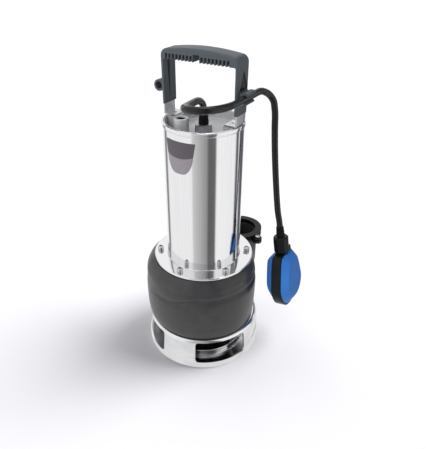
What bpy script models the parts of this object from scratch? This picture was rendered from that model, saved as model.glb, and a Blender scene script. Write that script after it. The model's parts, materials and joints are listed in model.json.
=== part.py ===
"""Submersible sump pump with a float switch: every piece of it, at rest.

Metres, +Z up. The handle runs along X, the discharge is at the back (+Y), and the
origin is on the floor, on the axis of the shaft.
"""

import math

import bmesh
import bpy
from mathutils import Euler, Vector

MM = 0.001
GAP = 0.3 * MM  # between two pieces that touch

# Base plate, a pressed sheet, and the strainer basket on it
SHEET = 2.2 * MM
BASE_FOOT_INSET = 0.5 * MM
BASE_RIM_RADIUS = 97.5 * MM
BASE_FLARE_HEIGHT = 8.0 * MM
BASE_SEAM_HEIGHT = 22.0 * MM
PLATFORM_RADIUS = 70.0 * MM
PLATFORM_HEIGHT = 13.0 * MM
BASKET_LEAN = 2.5 * MM
BASKET_SHOULDER = 7.0 * MM
BASKET_HOLE_RADIUS = 66.0 * MM
WINDOWS = 4
WINDOW_ARC = 54.0
WINDOW_AZIMUTH = -40.0
WINDOW_SILL = 12.7 * MM
WINDOW_HEAD = 53.5 * MM
WINDOW_CORNER = 5.0 * MM
TIE_CIRCLE = 58.0 * MM
TIE_SHANK = 3.0 * MM
TIE_HEAD = 5.5 * MM
TIE_HEAD_HEIGHT = 5.0 * MM
TIE_BITE = 5.5 * MM
SUCTION_BORE = 24.0 * MM
SUCTION_SNOUT = 4.0 * MM
SUCTION_SNOUT_DEPTH = 7.0 * MM

# Pump casing: a drum that grows clockwise, seen from above, into the discharge
CASING_BOTTOM = 57.3 * MM
CASING_TOP = 171.0 * MM
DRUM_RADIUS = 89.5 * MM
CASING_WALL = 6.0 * MM
VOLUTE_START = 31.0
VOLUTE_SWEEP = 304.0
VOLUTE_GROWTH = 14.4 * MM
CREASE_HEIGHT = 137.5 * MM
CREASE_DEPTH = 2.6 * MM
MOUTH_RADIUS = 79.3 * MM
MOUTH_DEPTH = 8.3 * MM
THROAT_RADIUS = 76.0 * MM
CHAMBER_BOTTOM = 68.0 * MM
CHAMBER_TOP = 126.0 * MM
OIL_RADIUS = 64.0 * MM
OIL_MOUTH_RADIUS = 54.0 * MM
OIL_LIP = 8.0 * MM
OIL_BOTTOM = 138.0 * MM

# Discharge
DISCHARGE_X = 6.5 * MM
DISCHARGE_Y = 122.0 * MM
DISCHARGE_TOP = 162.5 * MM
DISCHARGE_RADIUS = 39.5 * MM
DISCHARGE_BORE = 28.0 * MM
DISCHARGE_FLANGE = 5.7 * MM
DISCHARGE_GASKET = 1.4 * MM
DISCHARGE_PAD = 5.0 * MM
NECK_RADIUS = 31.4 * MM
NECK_WALL = 5.4 * MM
LUG_DISTANCE = 44.5 * MM
LUG_RADIUS = 8.0 * MM
LUG_AZIMUTH = -17.5
LUG_DROP = 4.0 * MM
FLANGE_ROOM = 1.5 * MM
DUCT_X = -38.0 * MM
DUCT_Y = 72.0 * MM
DUCT_RADIUS = 17.0 * MM
LUG_SHANK = 2.6 * MM
LUG_HEAD = 4.2 * MM
LUG_HEAD_HEIGHT = 3.5 * MM

# Motor: flange, barrel and rim
MOTOR_FLANGE_RADIUS = 81.6 * MM
MOTOR_FLANGE = 4.0 * MM
FLANGE_GASKET = 1.4 * MM
GASKET_INNER = 62.0 * MM
GASKET_OUTER = 68.0 * MM
FLANGE_SCREWS = 6
FLANGE_SCREW_CIRCLE = 72.0 * MM
FLANGE_SCREW_AZIMUTH = 30.0
FLANGE_SHANK = 2.8 * MM
FLANGE_HEAD = 4.8 * MM
FLANGE_HEAD_HEIGHT = 6.8 * MM
FLANGE_SCREW_DEPTH = 16.0 * MM
BARREL_RADIUS = 60.0 * MM
BARREL_WALL = 1.8 * MM
RIM_RADIUS = 61.3 * MM
RIM_BOTTOM = 397.5 * MM
RIM_TOP = 404.0 * MM
PLATE_THICKNESS = 0.6 * MM
PLATE_AZIMUTH = -93.5
PLATE_ARC = 48.0
PLATE_TOP = 388.0 * MM
PLATE_SIDE = 30.0 * MM
PLATE_TAPER = 0.8
PLATE_TIP = 340.5 * MM

# Rotor and seal
SHAFT_RADIUS = 8.0 * MM
SPIGOT_RADIUS = 6.0 * MM
SHAFT_BOTTOM = 90.0 * MM
IMPELLER_BOTTOM = 100.0 * MM
IMPELLER_HUB_TOP = 118.0 * MM
IMPELLER_HUB_RADIUS = 13.0 * MM
IMPELLER_RADIUS = 55.0 * MM
IMPELLER_DISC = 4.0 * MM
IMPELLER_DISC_BOTTOM = 110.0 * MM
VANES = 6
VANE_HEIGHT = 22.0 * MM
VANE_THICKNESS = 3.2 * MM
NUT_HEIGHT = 7.5 * MM
NUT_RADIUS = 9.5 * MM
SEAL_RING_RADIUS = 14.0 * MM
SEAL_RING_HEIGHT = 8.6 * MM
SEAL_SEAT_RADIUS = 18.0 * MM
SEAL_SEAT_HEIGHT = 9.7 * MM
BEARING_RADIUS = 20.0 * MM
BEARING_HEIGHT = 14.0 * MM
UPPER_BEARING_RADIUS = 16.0 * MM
UPPER_BEARING_HEIGHT = 10.4 * MM
CARRIER_FLOOR = 10.0 * MM
CARRIER_WALL = 4.0 * MM
STATOR_BOTTOM = 215.0 * MM
STATOR_TOP = 300.0 * MM
ROTOR_RADIUS = 28.0 * MM
AIR_GAP = 0.6 * MM
WINDING_INNER = 32.0 * MM
WINDING_OUTER = 51.0 * MM
WINDING_HEIGHT = 12.0 * MM
BRACKET_BOTTOM = 330.0 * MM
BRACKET_PLATE = 6.0 * MM
BRACKET_BOSS = 22.0 * MM
CAPACITOR_RADIUS = 15.0 * MM
CAPACITOR_LENGTH = 60.0 * MM
CAPACITOR_Y = 24.0 * MM
TERMINAL_SIZE = (30.0 * MM, 16.0 * MM, 15.0 * MM)
TERMINAL_Y = -34.0 * MM

# Top cover and cable inlets
COVER_FLOOR = 387.0 * MM
COVER_SHEET = 3.0 * MM
COVER_LUG_INNER = 38.0 * MM
COVER_LUG_OUTER = 56.0 * MM
COVER_LUG_TOP = 404.4 * MM
COVER_LUG_WIDTH = 27.0 * MM
GLAND_NUT_RADIUS = 14.4 * MM
GLAND_NUT_HEIGHT = 10.4 * MM
BOOT_TOP = 413.0 * MM
BOOT_RADIUS = 7.5 * MM
BOOT_TIP_RADIUS = 6.4 * MM
INLET_X = -22.0 * MM
INLET_Y = -25.0 * MM
INLET_TOP = 409.5 * MM
INLET_RADIUS = 10.8 * MM
INLET_BORE = 6.7 * MM
INLET_FOOT_HEIGHT = 5.0 * MM
INLET_EAR_DISTANCE = 14.5 * MM
INLET_EAR_RADIUS = 5.0 * MM
INLET_EAR_AZIMUTH = -58.6

# Straps and handle
STRAP_THICKNESS = 2.0 * MM
STRAP_WIDTH = 26.0 * MM
STRAP_INNER = 58.3 * MM
STRAP_FOOT_END = 41.0 * MM
STRAP_TOP = 470.0 * MM
STRAP_SCREW_X = 48.0 * MM
STRAP_SHANK = 2.5 * MM
STRAP_HEAD = 4.6 * MM
STRAP_SCREW_DEPTH = 14.0 * MM
LEG_BOTTOM = 421.2 * MM
LEG_INNER = 57.0 * MM
LEG_THICKNESS = 4.6 * MM
LEG_FLARE = 0.6 * MM
GRIP_WIDTH = 30.0 * MM
GRIP_UNDERSIDE = 484.8 * MM
GRIP_CREST = 502.5 * MM
GRIP_SHOULDER = 498.6 * MM
GRIP_CORNER = 10.0 * MM
GRIP_FILLET = 2.0 * MM
TOOTH_PITCH = 5.72 * MM
TOOTH_SLOT = 3.5 * MM
TOOTH_DEPTH = 8.0 * MM
TEETH_FIRST = -53.15 * MM
TEETH_SLOTS = 18
TEETH_RECESS = 8
CLIP_X = 69.0 * MM
CLIP_Z = 445.5 * MM
CLIP_RADIUS = 8.4 * MM
CLIP_FRONT = -11.0 * MM
CLIP_BACK = 12.0 * MM
CLIP_GUSSET = 429.0 * MM
BUTTRESS_X = 64.6 * MM
BUTTRESS_Z = 454.5 * MM
BUTTRESS_TIP = 480.0 * MM
GRIP_EDGE = 3.6 * MM

# Float cable and float
CABLE_RADIUS = 5.0 * MM
HINGE_Y = 15.15 * MM
CABLE_SPACING = 11.0 * MM
FLOAT_X = 106.0 * MM
FLOAT_Y = 66.4 * MM
FLOAT_Z = 222.0 * MM
FLOAT_TILT = (-2.1, -10.6, 0.0)
FLOAT_BOOT_LENGTH = 17.0 * MM
FLOAT_BOOT_RADIUS = 7.0 * MM
FLOAT_NUT_LENGTH = 29.5 * MM
FLOAT_NUT_RADIUS = 13.2 * MM
FLOAT_HALF_WIDTH = 36.6 * MM
FLOAT_SHOULDER = 23.6 * MM
FLOAT_LENGTH = 97.0 * MM
FLOAT_NECK_HALF_WIDTH = 13.0 * MM
FLOAT_BAND = 16.5 * MM
FLOAT_THICKNESS = 42.0 * MM
FLOAT_WALL = 3.0 * MM
FLOAT_FACE_INSET = 10.0 * MM
FLOAT_FACE_LIFT = 9.0 * MM
FLOAT_SEAM_LIFT = 3.0 * MM
SWITCH_RADIUS = 6.6 * MM
SWITCH_LENGTH = 34.0 * MM
BALL_RADIUS = 4.0 * MM
BALL_CLEARANCE = 0.4 * MM


# ---- materials -----------------------------------------------------------------


def material(name, colour, roughness, metallic):
    made = bpy.data.materials.new(name)
    made.use_nodes = True
    shader = made.node_tree.nodes["Principled BSDF"]
    rgb = [int(colour[i : i + 2], 16) / 255 for i in (0, 2, 4)]
    linear = [((c + 0.055) / 1.055) ** 2.4 if c > 0.04045 else c / 12.92 for c in rgb]
    shader.inputs["Base Color"].default_value = (*linear, 1)
    shader.inputs["Roughness"].default_value = roughness
    shader.inputs["Metallic"].default_value = metallic
    made.diffuse_color = (*linear, 1)
    return made


# ---- shapes --------------------------------------------------------------------


def place(name, mesh, finish, at=(0, 0, 0), parent=None, sharp=32):
    """A closed bmesh made into a named object."""
    bmesh.ops.recalc_face_normals(mesh, faces=mesh.faces)
    data = bpy.data.meshes.new(name)
    mesh.to_mesh(data)
    mesh.free()
    if finish:
        data.materials.append(finish)
    data.shade_smooth()
    data.set_sharp_from_angle(angle=math.radians(sharp))
    made = bpy.data.objects.new(name, data)
    bpy.context.scene.collection.objects.link(made)
    made.location = at
    made.parent = parent
    return made


def helper(name, mesh, at=(0, 0, 0)):
    made = place(name, mesh, None, at)
    made.hide_render = True
    made.display_type = "WIRE"
    return made


def boolean(target, tool, how="DIFFERENCE"):
    step = target.modifiers.new(tool.name, "BOOLEAN")
    step.operation = how
    step.solver = "EXACT"
    step.object = tool


def turned(profile, steps=48):
    """A closed outline of (radius, height) spun about Z."""
    mesh = bmesh.new()
    points = [mesh.verts.new((r, 0, z)) for r, z in profile]
    edges = [
        mesh.edges.new((a, b))
        for a, b in zip(points, points[1:] + points[:1])
        if a.co.x > 1e-9 or b.co.x > 1e-9
    ]
    bmesh.ops.spin(
        mesh,
        geom=points + edges,
        cent=(0, 0, 0),
        axis=(0, 0, 1),
        angle=2 * math.pi,
        steps=steps,
        use_merge=True,
    )
    bmesh.ops.remove_doubles(mesh, verts=mesh.verts, dist=1e-7)
    return mesh


def along_z(u, v, w):
    return (u, v, w)


def along_y(u, v, w):
    return (u, w, v)


def along_x(u, v, w):
    return (w, u, v)


def prism(outline, low, high, put=along_z):
    """A flat outline extruded from low to high."""
    mesh = bmesh.new()
    face = mesh.faces.new([mesh.verts.new(put(u, v, low)) for u, v in outline])
    grown = bmesh.ops.extrude_face_region(mesh, geom=[face])["geom"]
    top = [e for e in grown if isinstance(e, bmesh.types.BMVert)]
    bmesh.ops.translate(mesh, verts=top, vec=put(0, 0, high - low))
    return mesh


def skinned(rings, tube=False):
    """Rings of equally many points joined in order: capped, or closed into a tube."""
    mesh = bmesh.new()
    loops = [[mesh.verts.new(p) for p in ring] for ring in rings]
    pairs = list(zip(loops, loops[1:] + loops[:1] if tube else loops[1:]))
    for low, high in pairs:
        for i in range(len(low)):
            j = (i + 1) % len(low)
            mesh.faces.new((low[i], low[j], high[j], high[i]))
    if not tube:
        mesh.faces.new(loops[0][::-1])
        mesh.faces.new(loops[-1])
    return mesh


def joined(parts):
    """Several closed bmeshes that don't touch, as one cutter."""
    mesh = bmesh.new()
    for part in parts:
        data = bpy.data.meshes.new("part")
        part.to_mesh(data)
        part.free()
        mesh.from_mesh(data)
        bpy.data.meshes.remove(data)
    return mesh


def moved(mesh, x=0.0, y=0.0, z=0.0):
    bmesh.ops.translate(mesh, verts=mesh.verts, vec=(x, y, z))
    return mesh


def arc(x, z, radius, start, end, steps):
    return [
        (
            x + radius * math.cos(math.radians(start + (end - start) * i / steps)),
            z + radius * math.sin(math.radians(start + (end - start) * i / steps)),
        )
        for i in range(steps + 1)
    ]


def polar(radius, azimuth):
    return radius * math.cos(math.radians(azimuth)), radius * math.sin(
        math.radians(azimuth)
    )


def ring_of(count, radius, first=0.0):
    return [polar(radius, first + 360 * i / count) for i in range(count)]


def smooth(t):
    t = min(max(t, 0.0), 1.0)
    return t * t * (3 - 2 * t)


def cylinder(radius, low, high, steps=24):
    return turned([(0, low), (radius, low), (radius, high), (0, high)], steps)


def screw(name, x, y, seat, head, head_height, shank, depth, finish, parent=None):
    """A socket cap screw, its head standing on the height called seat."""
    socket, top = 0.5 * head, seat + head_height
    profile = [
        (0, seat - depth),
        (shank, seat - depth),
        (shank, seat),
        (head, seat),
        (head, top - 0.12 * head),
        (0.88 * head, top),
        (socket, top),
        (socket, top - 0.5 * head_height),
        (0, top - 0.5 * head_height),
    ]
    return place(name, turned(profile, 12), finish, (x, y, 0), parent)


# ---- base, strainer and suction cover --------------------------------------------


def windows():
    """The cutter of the windows, shared by the base's rim and the basket."""
    inner, outer = BASKET_HOLE_RADIUS + 14 * MM, BASE_RIM_RADIUS + 5 * MM
    half = math.radians(WINDOW_ARC / 2)
    corner = WINDOW_CORNER / BASE_RIM_RADIUS
    turns = [0, 0.15, 0.5, 1]
    edge = [half - corner * (1 - t) for t in turns]
    columns = [-a for a in reversed(edge)]
    columns += [half * t for t in (-0.6, -0.3, 0, 0.3, 0.6)] + edge
    parts = []
    for k in range(WINDOWS):
        middle = math.radians(WINDOW_AZIMUTH + 360 * k / WINDOWS)
        rings = []
        for a in columns:
            near = max(0.0, corner - (half - abs(a))) / corner
            round_off = WINDOW_CORNER * (1 - math.sqrt(max(0.0, 1 - near * near)))
            c, s = math.cos(middle + a), math.sin(middle + a)
            low, high = WINDOW_SILL + round_off, WINDOW_HEAD - round_off
            rings.append(
                [
                    (inner * c, inner * s, low),
                    (outer * c, outer * s, low),
                    (outer * c, outer * s, high),
                    (inner * c, inner * s, high),
                ]
            )
        parts.append(skinned(rings))
    return helper("window_cutter", joined(parts))


def base_plate(finish, cutter):
    inside = BASE_RIM_RADIUS - SHEET
    made = place(
        "base_plate",
        turned(
            [
                (PLATFORM_RADIUS - SHEET, 0),
                (BASE_RIM_RADIUS - BASE_FOOT_INSET, 0),
                (BASE_RIM_RADIUS, BASE_FLARE_HEIGHT),
                (BASE_RIM_RADIUS, BASE_SEAM_HEIGHT),
                (inside, BASE_SEAM_HEIGHT),
                (inside, SHEET),
                (PLATFORM_RADIUS, SHEET),
                (PLATFORM_RADIUS, PLATFORM_HEIGHT - 1.5 * MM),
                (PLATFORM_RADIUS - 1.5 * MM, PLATFORM_HEIGHT),
                (0, PLATFORM_HEIGHT),
                (0, PLATFORM_HEIGHT - SHEET),
                (PLATFORM_RADIUS - SHEET, PLATFORM_HEIGHT - SHEET),
            ]
        ),
        finish,
    )
    boolean(made, cutter)
    holes = [
        moved(cylinder(TIE_SHANK + GAP, 0, 2 * PLATFORM_HEIGHT, 12), x, y)
        for x, y in tie_places()
    ]
    boolean(made, helper("base_hole_cutter", joined(holes)))
    return made


def tie_places():
    return ring_of(WINDOWS, TIE_CIRCLE, WINDOW_AZIMUTH + 180 / WINDOWS)


def foot_pad(finish):
    made = place(
        "foot_pad",
        cylinder(PLATFORM_RADIUS - SHEET - GAP, 0, PLATFORM_HEIGHT - SHEET - GAP, 32),
        finish,
    )
    holes = [
        moved(cylinder(TIE_HEAD + GAP, -PLATFORM_HEIGHT, PLATFORM_HEIGHT, 12), x, y)
        for x, y in tie_places()
    ]
    boolean(made, helper("pad_hole_cutter", joined(holes)))
    return made


def tie_bolts(finish):
    seat = PLATFORM_HEIGHT - SHEET - GAP
    for i, (x, y) in enumerate(tie_places(), 1):
        profile = [
            (0, seat - TIE_HEAD_HEIGHT),
            (TIE_HEAD, seat - TIE_HEAD_HEIGHT),
            (TIE_HEAD, seat),
            (TIE_SHANK, seat),
            (TIE_SHANK, CASING_BOTTOM + TIE_BITE),
            (0, CASING_BOTTOM + TIE_BITE),
        ]
        place(f"tie_bolt_{i}", turned(profile, 12), finish, (x, y, 0))


def strainer_basket(finish, cutter):
    top = CASING_BOTTOM - GAP
    centre = BASE_RIM_RADIUS - BASKET_LEAN - BASKET_SHOULDER
    outside = arc(centre, top - BASKET_SHOULDER, BASKET_SHOULDER, 0, 90, 3)
    inside = arc(centre, top - BASKET_SHOULDER, BASKET_SHOULDER - SHEET, 90, 0, 2)
    made = place(
        "strainer_basket",
        turned(
            [(BASE_RIM_RADIUS, BASE_SEAM_HEIGHT + GAP)]
            + outside
            + [(BASKET_HOLE_RADIUS, top), (BASKET_HOLE_RADIUS, top - SHEET)]
            + inside
            + [(BASE_RIM_RADIUS - SHEET, BASE_SEAM_HEIGHT + GAP)]
        ),
        finish,
    )
    boolean(made, cutter)
    return made


def suction_cover(finish):
    top = CASING_BOTTOM + MOUTH_DEPTH - GAP
    radius = MOUTH_RADIUS - GAP
    snout = SUCTION_BORE + SUCTION_SNOUT
    made = place(
        "suction_cover",
        turned(
            [
                (SUCTION_BORE + 2 * MM, CASING_BOTTOM - SUCTION_SNOUT_DEPTH),
                (snout, CASING_BOTTOM - SUCTION_SNOUT_DEPTH),
                (snout, CASING_BOTTOM),
                (radius, CASING_BOTTOM),
                (radius, top),
                (SUCTION_BORE, top),
                (SUCTION_BORE, CASING_BOTTOM - SUCTION_SNOUT_DEPTH + 2 * MM),
            ]
        ),
        finish,
    )
    depth = CASING_BOTTOM + TIE_BITE + GAP
    holes = [
        moved(cylinder(TIE_SHANK + GAP, PLATFORM_HEIGHT, depth, 12), x, y)
        for x, y in tie_places()
    ]
    boolean(made, helper("cover_hole_cutter", joined(holes)))
    return made


# ---- casing and discharge ----------------------------------------------------------


def volute(azimuth):
    """How far the casing has grown at this azimuth."""
    run = (VOLUTE_START - azimuth) % 360
    if run <= VOLUTE_SWEEP:
        return VOLUTE_GROWTH * run / VOLUTE_SWEEP
    return VOLUTE_GROWTH * smooth((360 - run) / (360 - VOLUTE_SWEEP))


def crease(azimuth):
    """Depth share and drop of the crease round the drum at this azimuth."""
    a = (azimuth + 180) % 360 - 180
    share = smooth((a + 125) / 45) * smooth((62 - a) / 45)
    return share, 10 * MM * smooth((-62 - a) / 32)


def casing_rings(steps=48):
    """Outside of the drum: for each ring a height, an inset and a share of the growth."""
    low, top = CASING_BOTTOM, CASING_TOP
    shape = [
        (low, 2.3, 0.0),
        (low + 2.5 * MM, 2.0, 0.5),
        (low + 8.5 * MM, 1.6, 0.84),
        (low + 20 * MM, 0.8, 0.97),
        (low + 42 * MM, 0.0, 1.0),
        (CREASE_HEIGHT - 8 * MM, 0.0, 1.0),
        (CREASE_HEIGHT - 3 * MM, 0.3, 1.0),
        (CREASE_HEIGHT, 0.5, 1.0),
        (CREASE_HEIGHT + 4 * MM, 0.9, 1.0),
        (top - 20 * MM, 2.0, 1.0),
        (top - 13 * MM, 4.3, 1.0),
        (top - 6 * MM, 8.3, 1.0),
        (top - 1.5 * MM, 11.6, 0.8),
        (top, 13.0, 0.75),
    ]
    rings = []
    for k, (z, inset, share) in enumerate(shape):
        ring = []
        for i in range(steps):
            azimuth = 360 * i / steps
            depth, drop = crease(azimuth)
            radius = DRUM_RADIUS - inset * MM + share * volute(azimuth)
            radius -= CREASE_DEPTH * depth * (k == 7)
            x, y = polar(radius, azimuth)
            ring.append((x, y, z - drop * (5 <= k <= 8)))
        rings.append(ring)
    return rings


def chamber(steps=32):
    inside = DRUM_RADIUS - CASING_WALL
    rings = []
    for z, inset in (
        (CHAMBER_BOTTOM, 6 * MM),
        (CHAMBER_BOTTOM + 6 * MM, 0),
        (CHAMBER_TOP - 8 * MM, 0),
        (CHAMBER_TOP, 8 * MM),
    ):
        rings.append(
            [
                (*polar(inside - inset + volute(360 * i / steps), 360 * i / steps), z)
                for i in range(steps)
            ]
        )
    return skinned(rings)


def lug_outline(radius, lug_radius=LUG_RADIUS):
    """Round outline with two lugs, about the discharge's centre."""
    side = math.degrees(math.asin(lug_radius / LUG_DISTANCE))
    foot = math.degrees(math.asin(lug_radius / radius))
    lug = [0, 0.45 * side, 0.8 * side, 0.97 * side, side]
    angles = []
    for way in (0, 180):
        angles += [way - foot] + [way - a for a in reversed(lug[1:])]
        angles += [way + a for a in lug] + [way + foot]
        span = 180 - 2 * foot
        angles += [way + foot + span * k / 14 for k in range(1, 14)]
    outline = []
    for angle in angles:
        across = abs(math.sin(math.radians(angle)))
        ahead = abs(math.cos(math.radians(angle)))
        reach = radius
        if across * LUG_DISTANCE <= lug_radius * 1.0001:
            inner = max(0.0, lug_radius**2 - (LUG_DISTANCE * across) ** 2)
            reach = LUG_DISTANCE * ahead + math.sqrt(inner)
        outline.append(polar(reach, angle + LUG_AZIMUTH))
    return outline


def discharge_heights():
    """Underside of the flange, of the gasket and of the casing's pad."""
    flange = DISCHARGE_TOP - DISCHARGE_FLANGE
    gasket = flange - GAP - DISCHARGE_GASKET
    return flange, gasket, gasket - GAP - DISCHARGE_PAD


def lug_screw_places():
    return ring_of(2, LUG_DISTANCE, LUG_AZIMUTH)


def neck(radius, top):
    """The upright part of the discharge and the round elbow under it."""
    middle = (CHAMBER_BOTTOM + CHAMBER_TOP) / 2
    return turned(arc(0, middle, radius, -90, 0, 5) + [(radius, top), (0, top)], 24)


def duct(start, end):
    """The way out of the volute, widening towards the elbow."""
    middle = (CHAMBER_BOTTOM + CHAMBER_TOP) / 2
    a = Vector((DUCT_X, DUCT_Y, middle))
    b = Vector((DISCHARGE_X, DISCHARGE_Y, middle))
    way = b - a
    side = way.cross((0, 0, 1)).normalized()
    rings = []
    for centre, radius in ((a, start), (b, end)):
        rings.append(
            [
                tuple(
                    centre
                    + side * radius * math.cos(2 * math.pi * i / 24)
                    + Vector((0, 0, radius * math.sin(2 * math.pi * i / 24)))
                )
                for i in range(24)
            ]
        )
    return skinned(rings)


def flange_screw_places():
    return ring_of(FLANGE_SCREWS, FLANGE_SCREW_CIRCLE, FLANGE_SCREW_AZIMUTH)


def pump_casing(finish):
    made = place("pump_casing", skinned(casing_rings()), finish)
    centre = (DISCHARGE_X, DISCHARGE_Y, 0)
    _, gasket, pad = discharge_heights()
    pad_top = gasket - GAP
    bore = NECK_RADIUS - NECK_WALL
    boolean(
        made,
        helper("duct_outside", duct(DUCT_RADIUS + NECK_WALL, NECK_RADIUS - 2 * MM)),
        "UNION",
    )
    boolean(
        made,
        helper("neck_outside", neck(NECK_RADIUS, (pad + pad_top) / 2), centre),
        "UNION",
    )
    boolean(
        made,
        helper("neck_pad", prism(lug_outline(DISCHARGE_RADIUS), pad, pad_top), centre),
        "UNION",
    )
    room = lug_outline(DISCHARGE_RADIUS + FLANGE_ROOM, LUG_RADIUS + FLANGE_ROOM)
    relief = prism(room, pad_top, CASING_TOP + 20 * MM)
    boolean(made, helper("flange_relief", relief, centre))
    boolean(made, helper("chamber_cutter", chamber()))
    mouth_top = CASING_BOTTOM + MOUTH_DEPTH
    boolean(
        made,
        helper(
            "mouth_cutter",
            turned(
                [
                    (0, 0),
                    (MOUTH_RADIUS, 0),
                    (MOUTH_RADIUS, mouth_top),
                    (THROAT_RADIUS, mouth_top),
                    (THROAT_RADIUS, CHAMBER_BOTTOM + 3 * MM),
                    (0, CHAMBER_BOTTOM + 3 * MM),
                ]
            ),
        ),
    )
    seat = SEAL_SEAT_RADIUS + GAP
    above = CASING_TOP + 20 * MM
    boolean(
        made,
        helper(
            "oil_cutter",
            turned(
                [
                    (0, CHAMBER_TOP - 5 * MM),
                    (seat, CHAMBER_TOP - 5 * MM),
                    (seat, OIL_BOTTOM),
                    (OIL_RADIUS, OIL_BOTTOM),
                    (OIL_RADIUS, CASING_TOP - OIL_LIP),
                    (OIL_MOUTH_RADIUS, CASING_TOP - OIL_LIP),
                    (OIL_MOUTH_RADIUS, above),
                    (0, above),
                ],
                32,
            ),
        ),
    )
    boolean(made, helper("neck_bore", neck(bore, DISCHARGE_TOP + 5 * MM), centre))
    boolean(made, helper("duct_bore", duct(DUCT_RADIUS, bore - 2 * MM)))
    seat_z = CASING_TOP + FLANGE_GASKET + 2 * GAP + MOTOR_FLANGE + GAP
    low = seat_z - FLANGE_SCREW_DEPTH - GAP
    holes = [
        moved(cylinder(FLANGE_SHANK + GAP, low, above, 12), x, y)
        for x, y in flange_screw_places()
    ]
    boolean(made, helper("flange_hole_cutter", joined(holes)))
    holes = [
        moved(cylinder(LUG_SHANK + GAP, pad - 2 * MM, DISCHARGE_TOP, 12), x, y)
        for x, y in lug_screw_places()
    ]
    boolean(made, helper("pad_screw_cutter", joined(holes), centre))
    return made


def discharge_pieces(steel, black, rubber):
    centre = (DISCHARGE_X, DISCHARGE_Y, 0)
    flange_low, gasket_low, pad_low = discharge_heights()
    outline = lug_outline(DISCHARGE_RADIUS)
    seat = DISCHARGE_TOP - LUG_DROP + GAP
    screw_holes = helper(
        "lug_hole_cutter",
        joined(
            [
                moved(cylinder(LUG_SHANK + GAP, pad_low, DISCHARGE_TOP, 12), x, y)
                for x, y in lug_screw_places()
            ]
        ),
        centre,
    )
    for name, low, high, bore, finish in (
        ("discharge_gasket", gasket_low, flange_low - GAP, DISCHARGE_BORE, rubber),
        ("discharge_flange", flange_low, DISCHARGE_TOP, DISCHARGE_BORE, black),
    ):
        made = place(name, prism(outline, low, high), finish, centre)
        way = helper(
            f"{name}_bore", cylinder(bore, low - 5 * MM, high + 5 * MM, 32), centre
        )
        boolean(made, way)
        boolean(made, screw_holes)
    reach = LUG_DISTANCE + 2 * LUG_RADIUS
    step = [
        (DISCHARGE_RADIUS, seat - GAP),
        (reach, seat - GAP),
        (reach, DISCHARGE_TOP + 5 * MM),
        (DISCHARGE_RADIUS, DISCHARGE_TOP + 5 * MM),
    ]
    boolean(made, helper("lug_step_cutter", turned(step), centre))
    depth = seat - pad_low - 1 * MM
    for i, (x, y) in enumerate(lug_screw_places(), 1):
        screw(
            f"discharge_screw_{i}",
            DISCHARGE_X + x,
            DISCHARGE_Y + y,
            seat,
            LUG_HEAD,
            LUG_HEAD_HEIGHT,
            LUG_SHANK,
            depth,
            steel,
        )


# ---- motor housing ---------------------------------------------------------------


def flange_heights():
    """Undersides of the flange's gasket and of the flange, and the flange's top."""
    low = CASING_TOP + GAP + FLANGE_GASKET + GAP
    return CASING_TOP + GAP, low, low + MOTOR_FLANGE


def motor_housing(polished, steel, rubber, plate):
    gasket, low, high = flange_heights()
    rings = (
        ("flange_gasket", GASKET_INNER, GASKET_OUTER, gasket, low - GAP, rubber),
        (
            "motor_flange",
            BARREL_RADIUS + GAP,
            MOTOR_FLANGE_RADIUS,
            low,
            high,
            polished,
        ),
        (
            "motor_barrel",
            BARREL_RADIUS - BARREL_WALL,
            BARREL_RADIUS,
            low,
            RIM_BOTTOM - GAP,
            polished,
        ),
    )
    made = {}
    for name, inner, outer, bottom, top, finish in rings:
        edge = 0.8 * MM if name == "motor_flange" else 0
        profile = [(inner, bottom), (outer, bottom), (outer, top - edge)]
        profile += [(outer - edge, top)] if edge else []
        made[name] = place(name, turned(profile + [(inner, top)]), finish)
    holes = [
        moved(cylinder(FLANGE_SHANK + GAP, low - 5 * MM, high + 5 * MM, 12), x, y)
        for x, y in flange_screw_places()
    ]
    boolean(made["motor_flange"], helper("screw_hole_cutter", joined(holes)))
    for i, (x, y) in enumerate(flange_screw_places(), 1):
        screw(
            f"flange_screw_{i}",
            x,
            y,
            high + GAP,
            FLANGE_HEAD,
            FLANGE_HEAD_HEIGHT,
            FLANGE_SHANK,
            FLANGE_SCREW_DEPTH,
            steel,
        )
    inner = BARREL_RADIUS - BARREL_WALL
    lip = RIM_RADIUS - BARREL_RADIUS
    place(
        "rim_ring",
        turned(
            [
                (inner, RIM_BOTTOM),
                (RIM_RADIUS - lip, RIM_BOTTOM),
                (RIM_RADIUS, RIM_BOTTOM + lip),
                (RIM_RADIUS, RIM_TOP - lip),
                (RIM_RADIUS - lip, RIM_TOP),
                (inner, RIM_TOP),
            ]
        ),
        polished,
    )
    nameplate(plate)


def nameplate(finish):
    """A bare shield-shaped plate bent round the barrel."""
    inner = BARREL_RADIUS + GAP
    outer = inner + PLATE_THICKNESS
    columns = [-1, -0.8, -0.6, -0.4, -0.2, 0, 0.2, 0.4, 0.6, 0.8, 1]
    rings = []
    for t in columns:
        above = PLATE_AZIMUTH + t * PLATE_ARC / 2
        below = PLATE_AZIMUTH + t * PLATE_ARC / 2 * PLATE_TAPER
        drop = (PLATE_TOP - PLATE_SIDE - PLATE_TIP) * (1 - abs(t) ** 3.5)
        low = PLATE_TOP - PLATE_SIDE - drop
        foot = [(*polar(r, below), low) for r in (inner, outer)]
        rings.append(foot + [(*polar(r, above), PLATE_TOP) for r in (outer, inner)])
    place("nameplate", skinned(rings), finish)


# ---- rotor, seal and motor inside --------------------------------------------------


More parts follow.
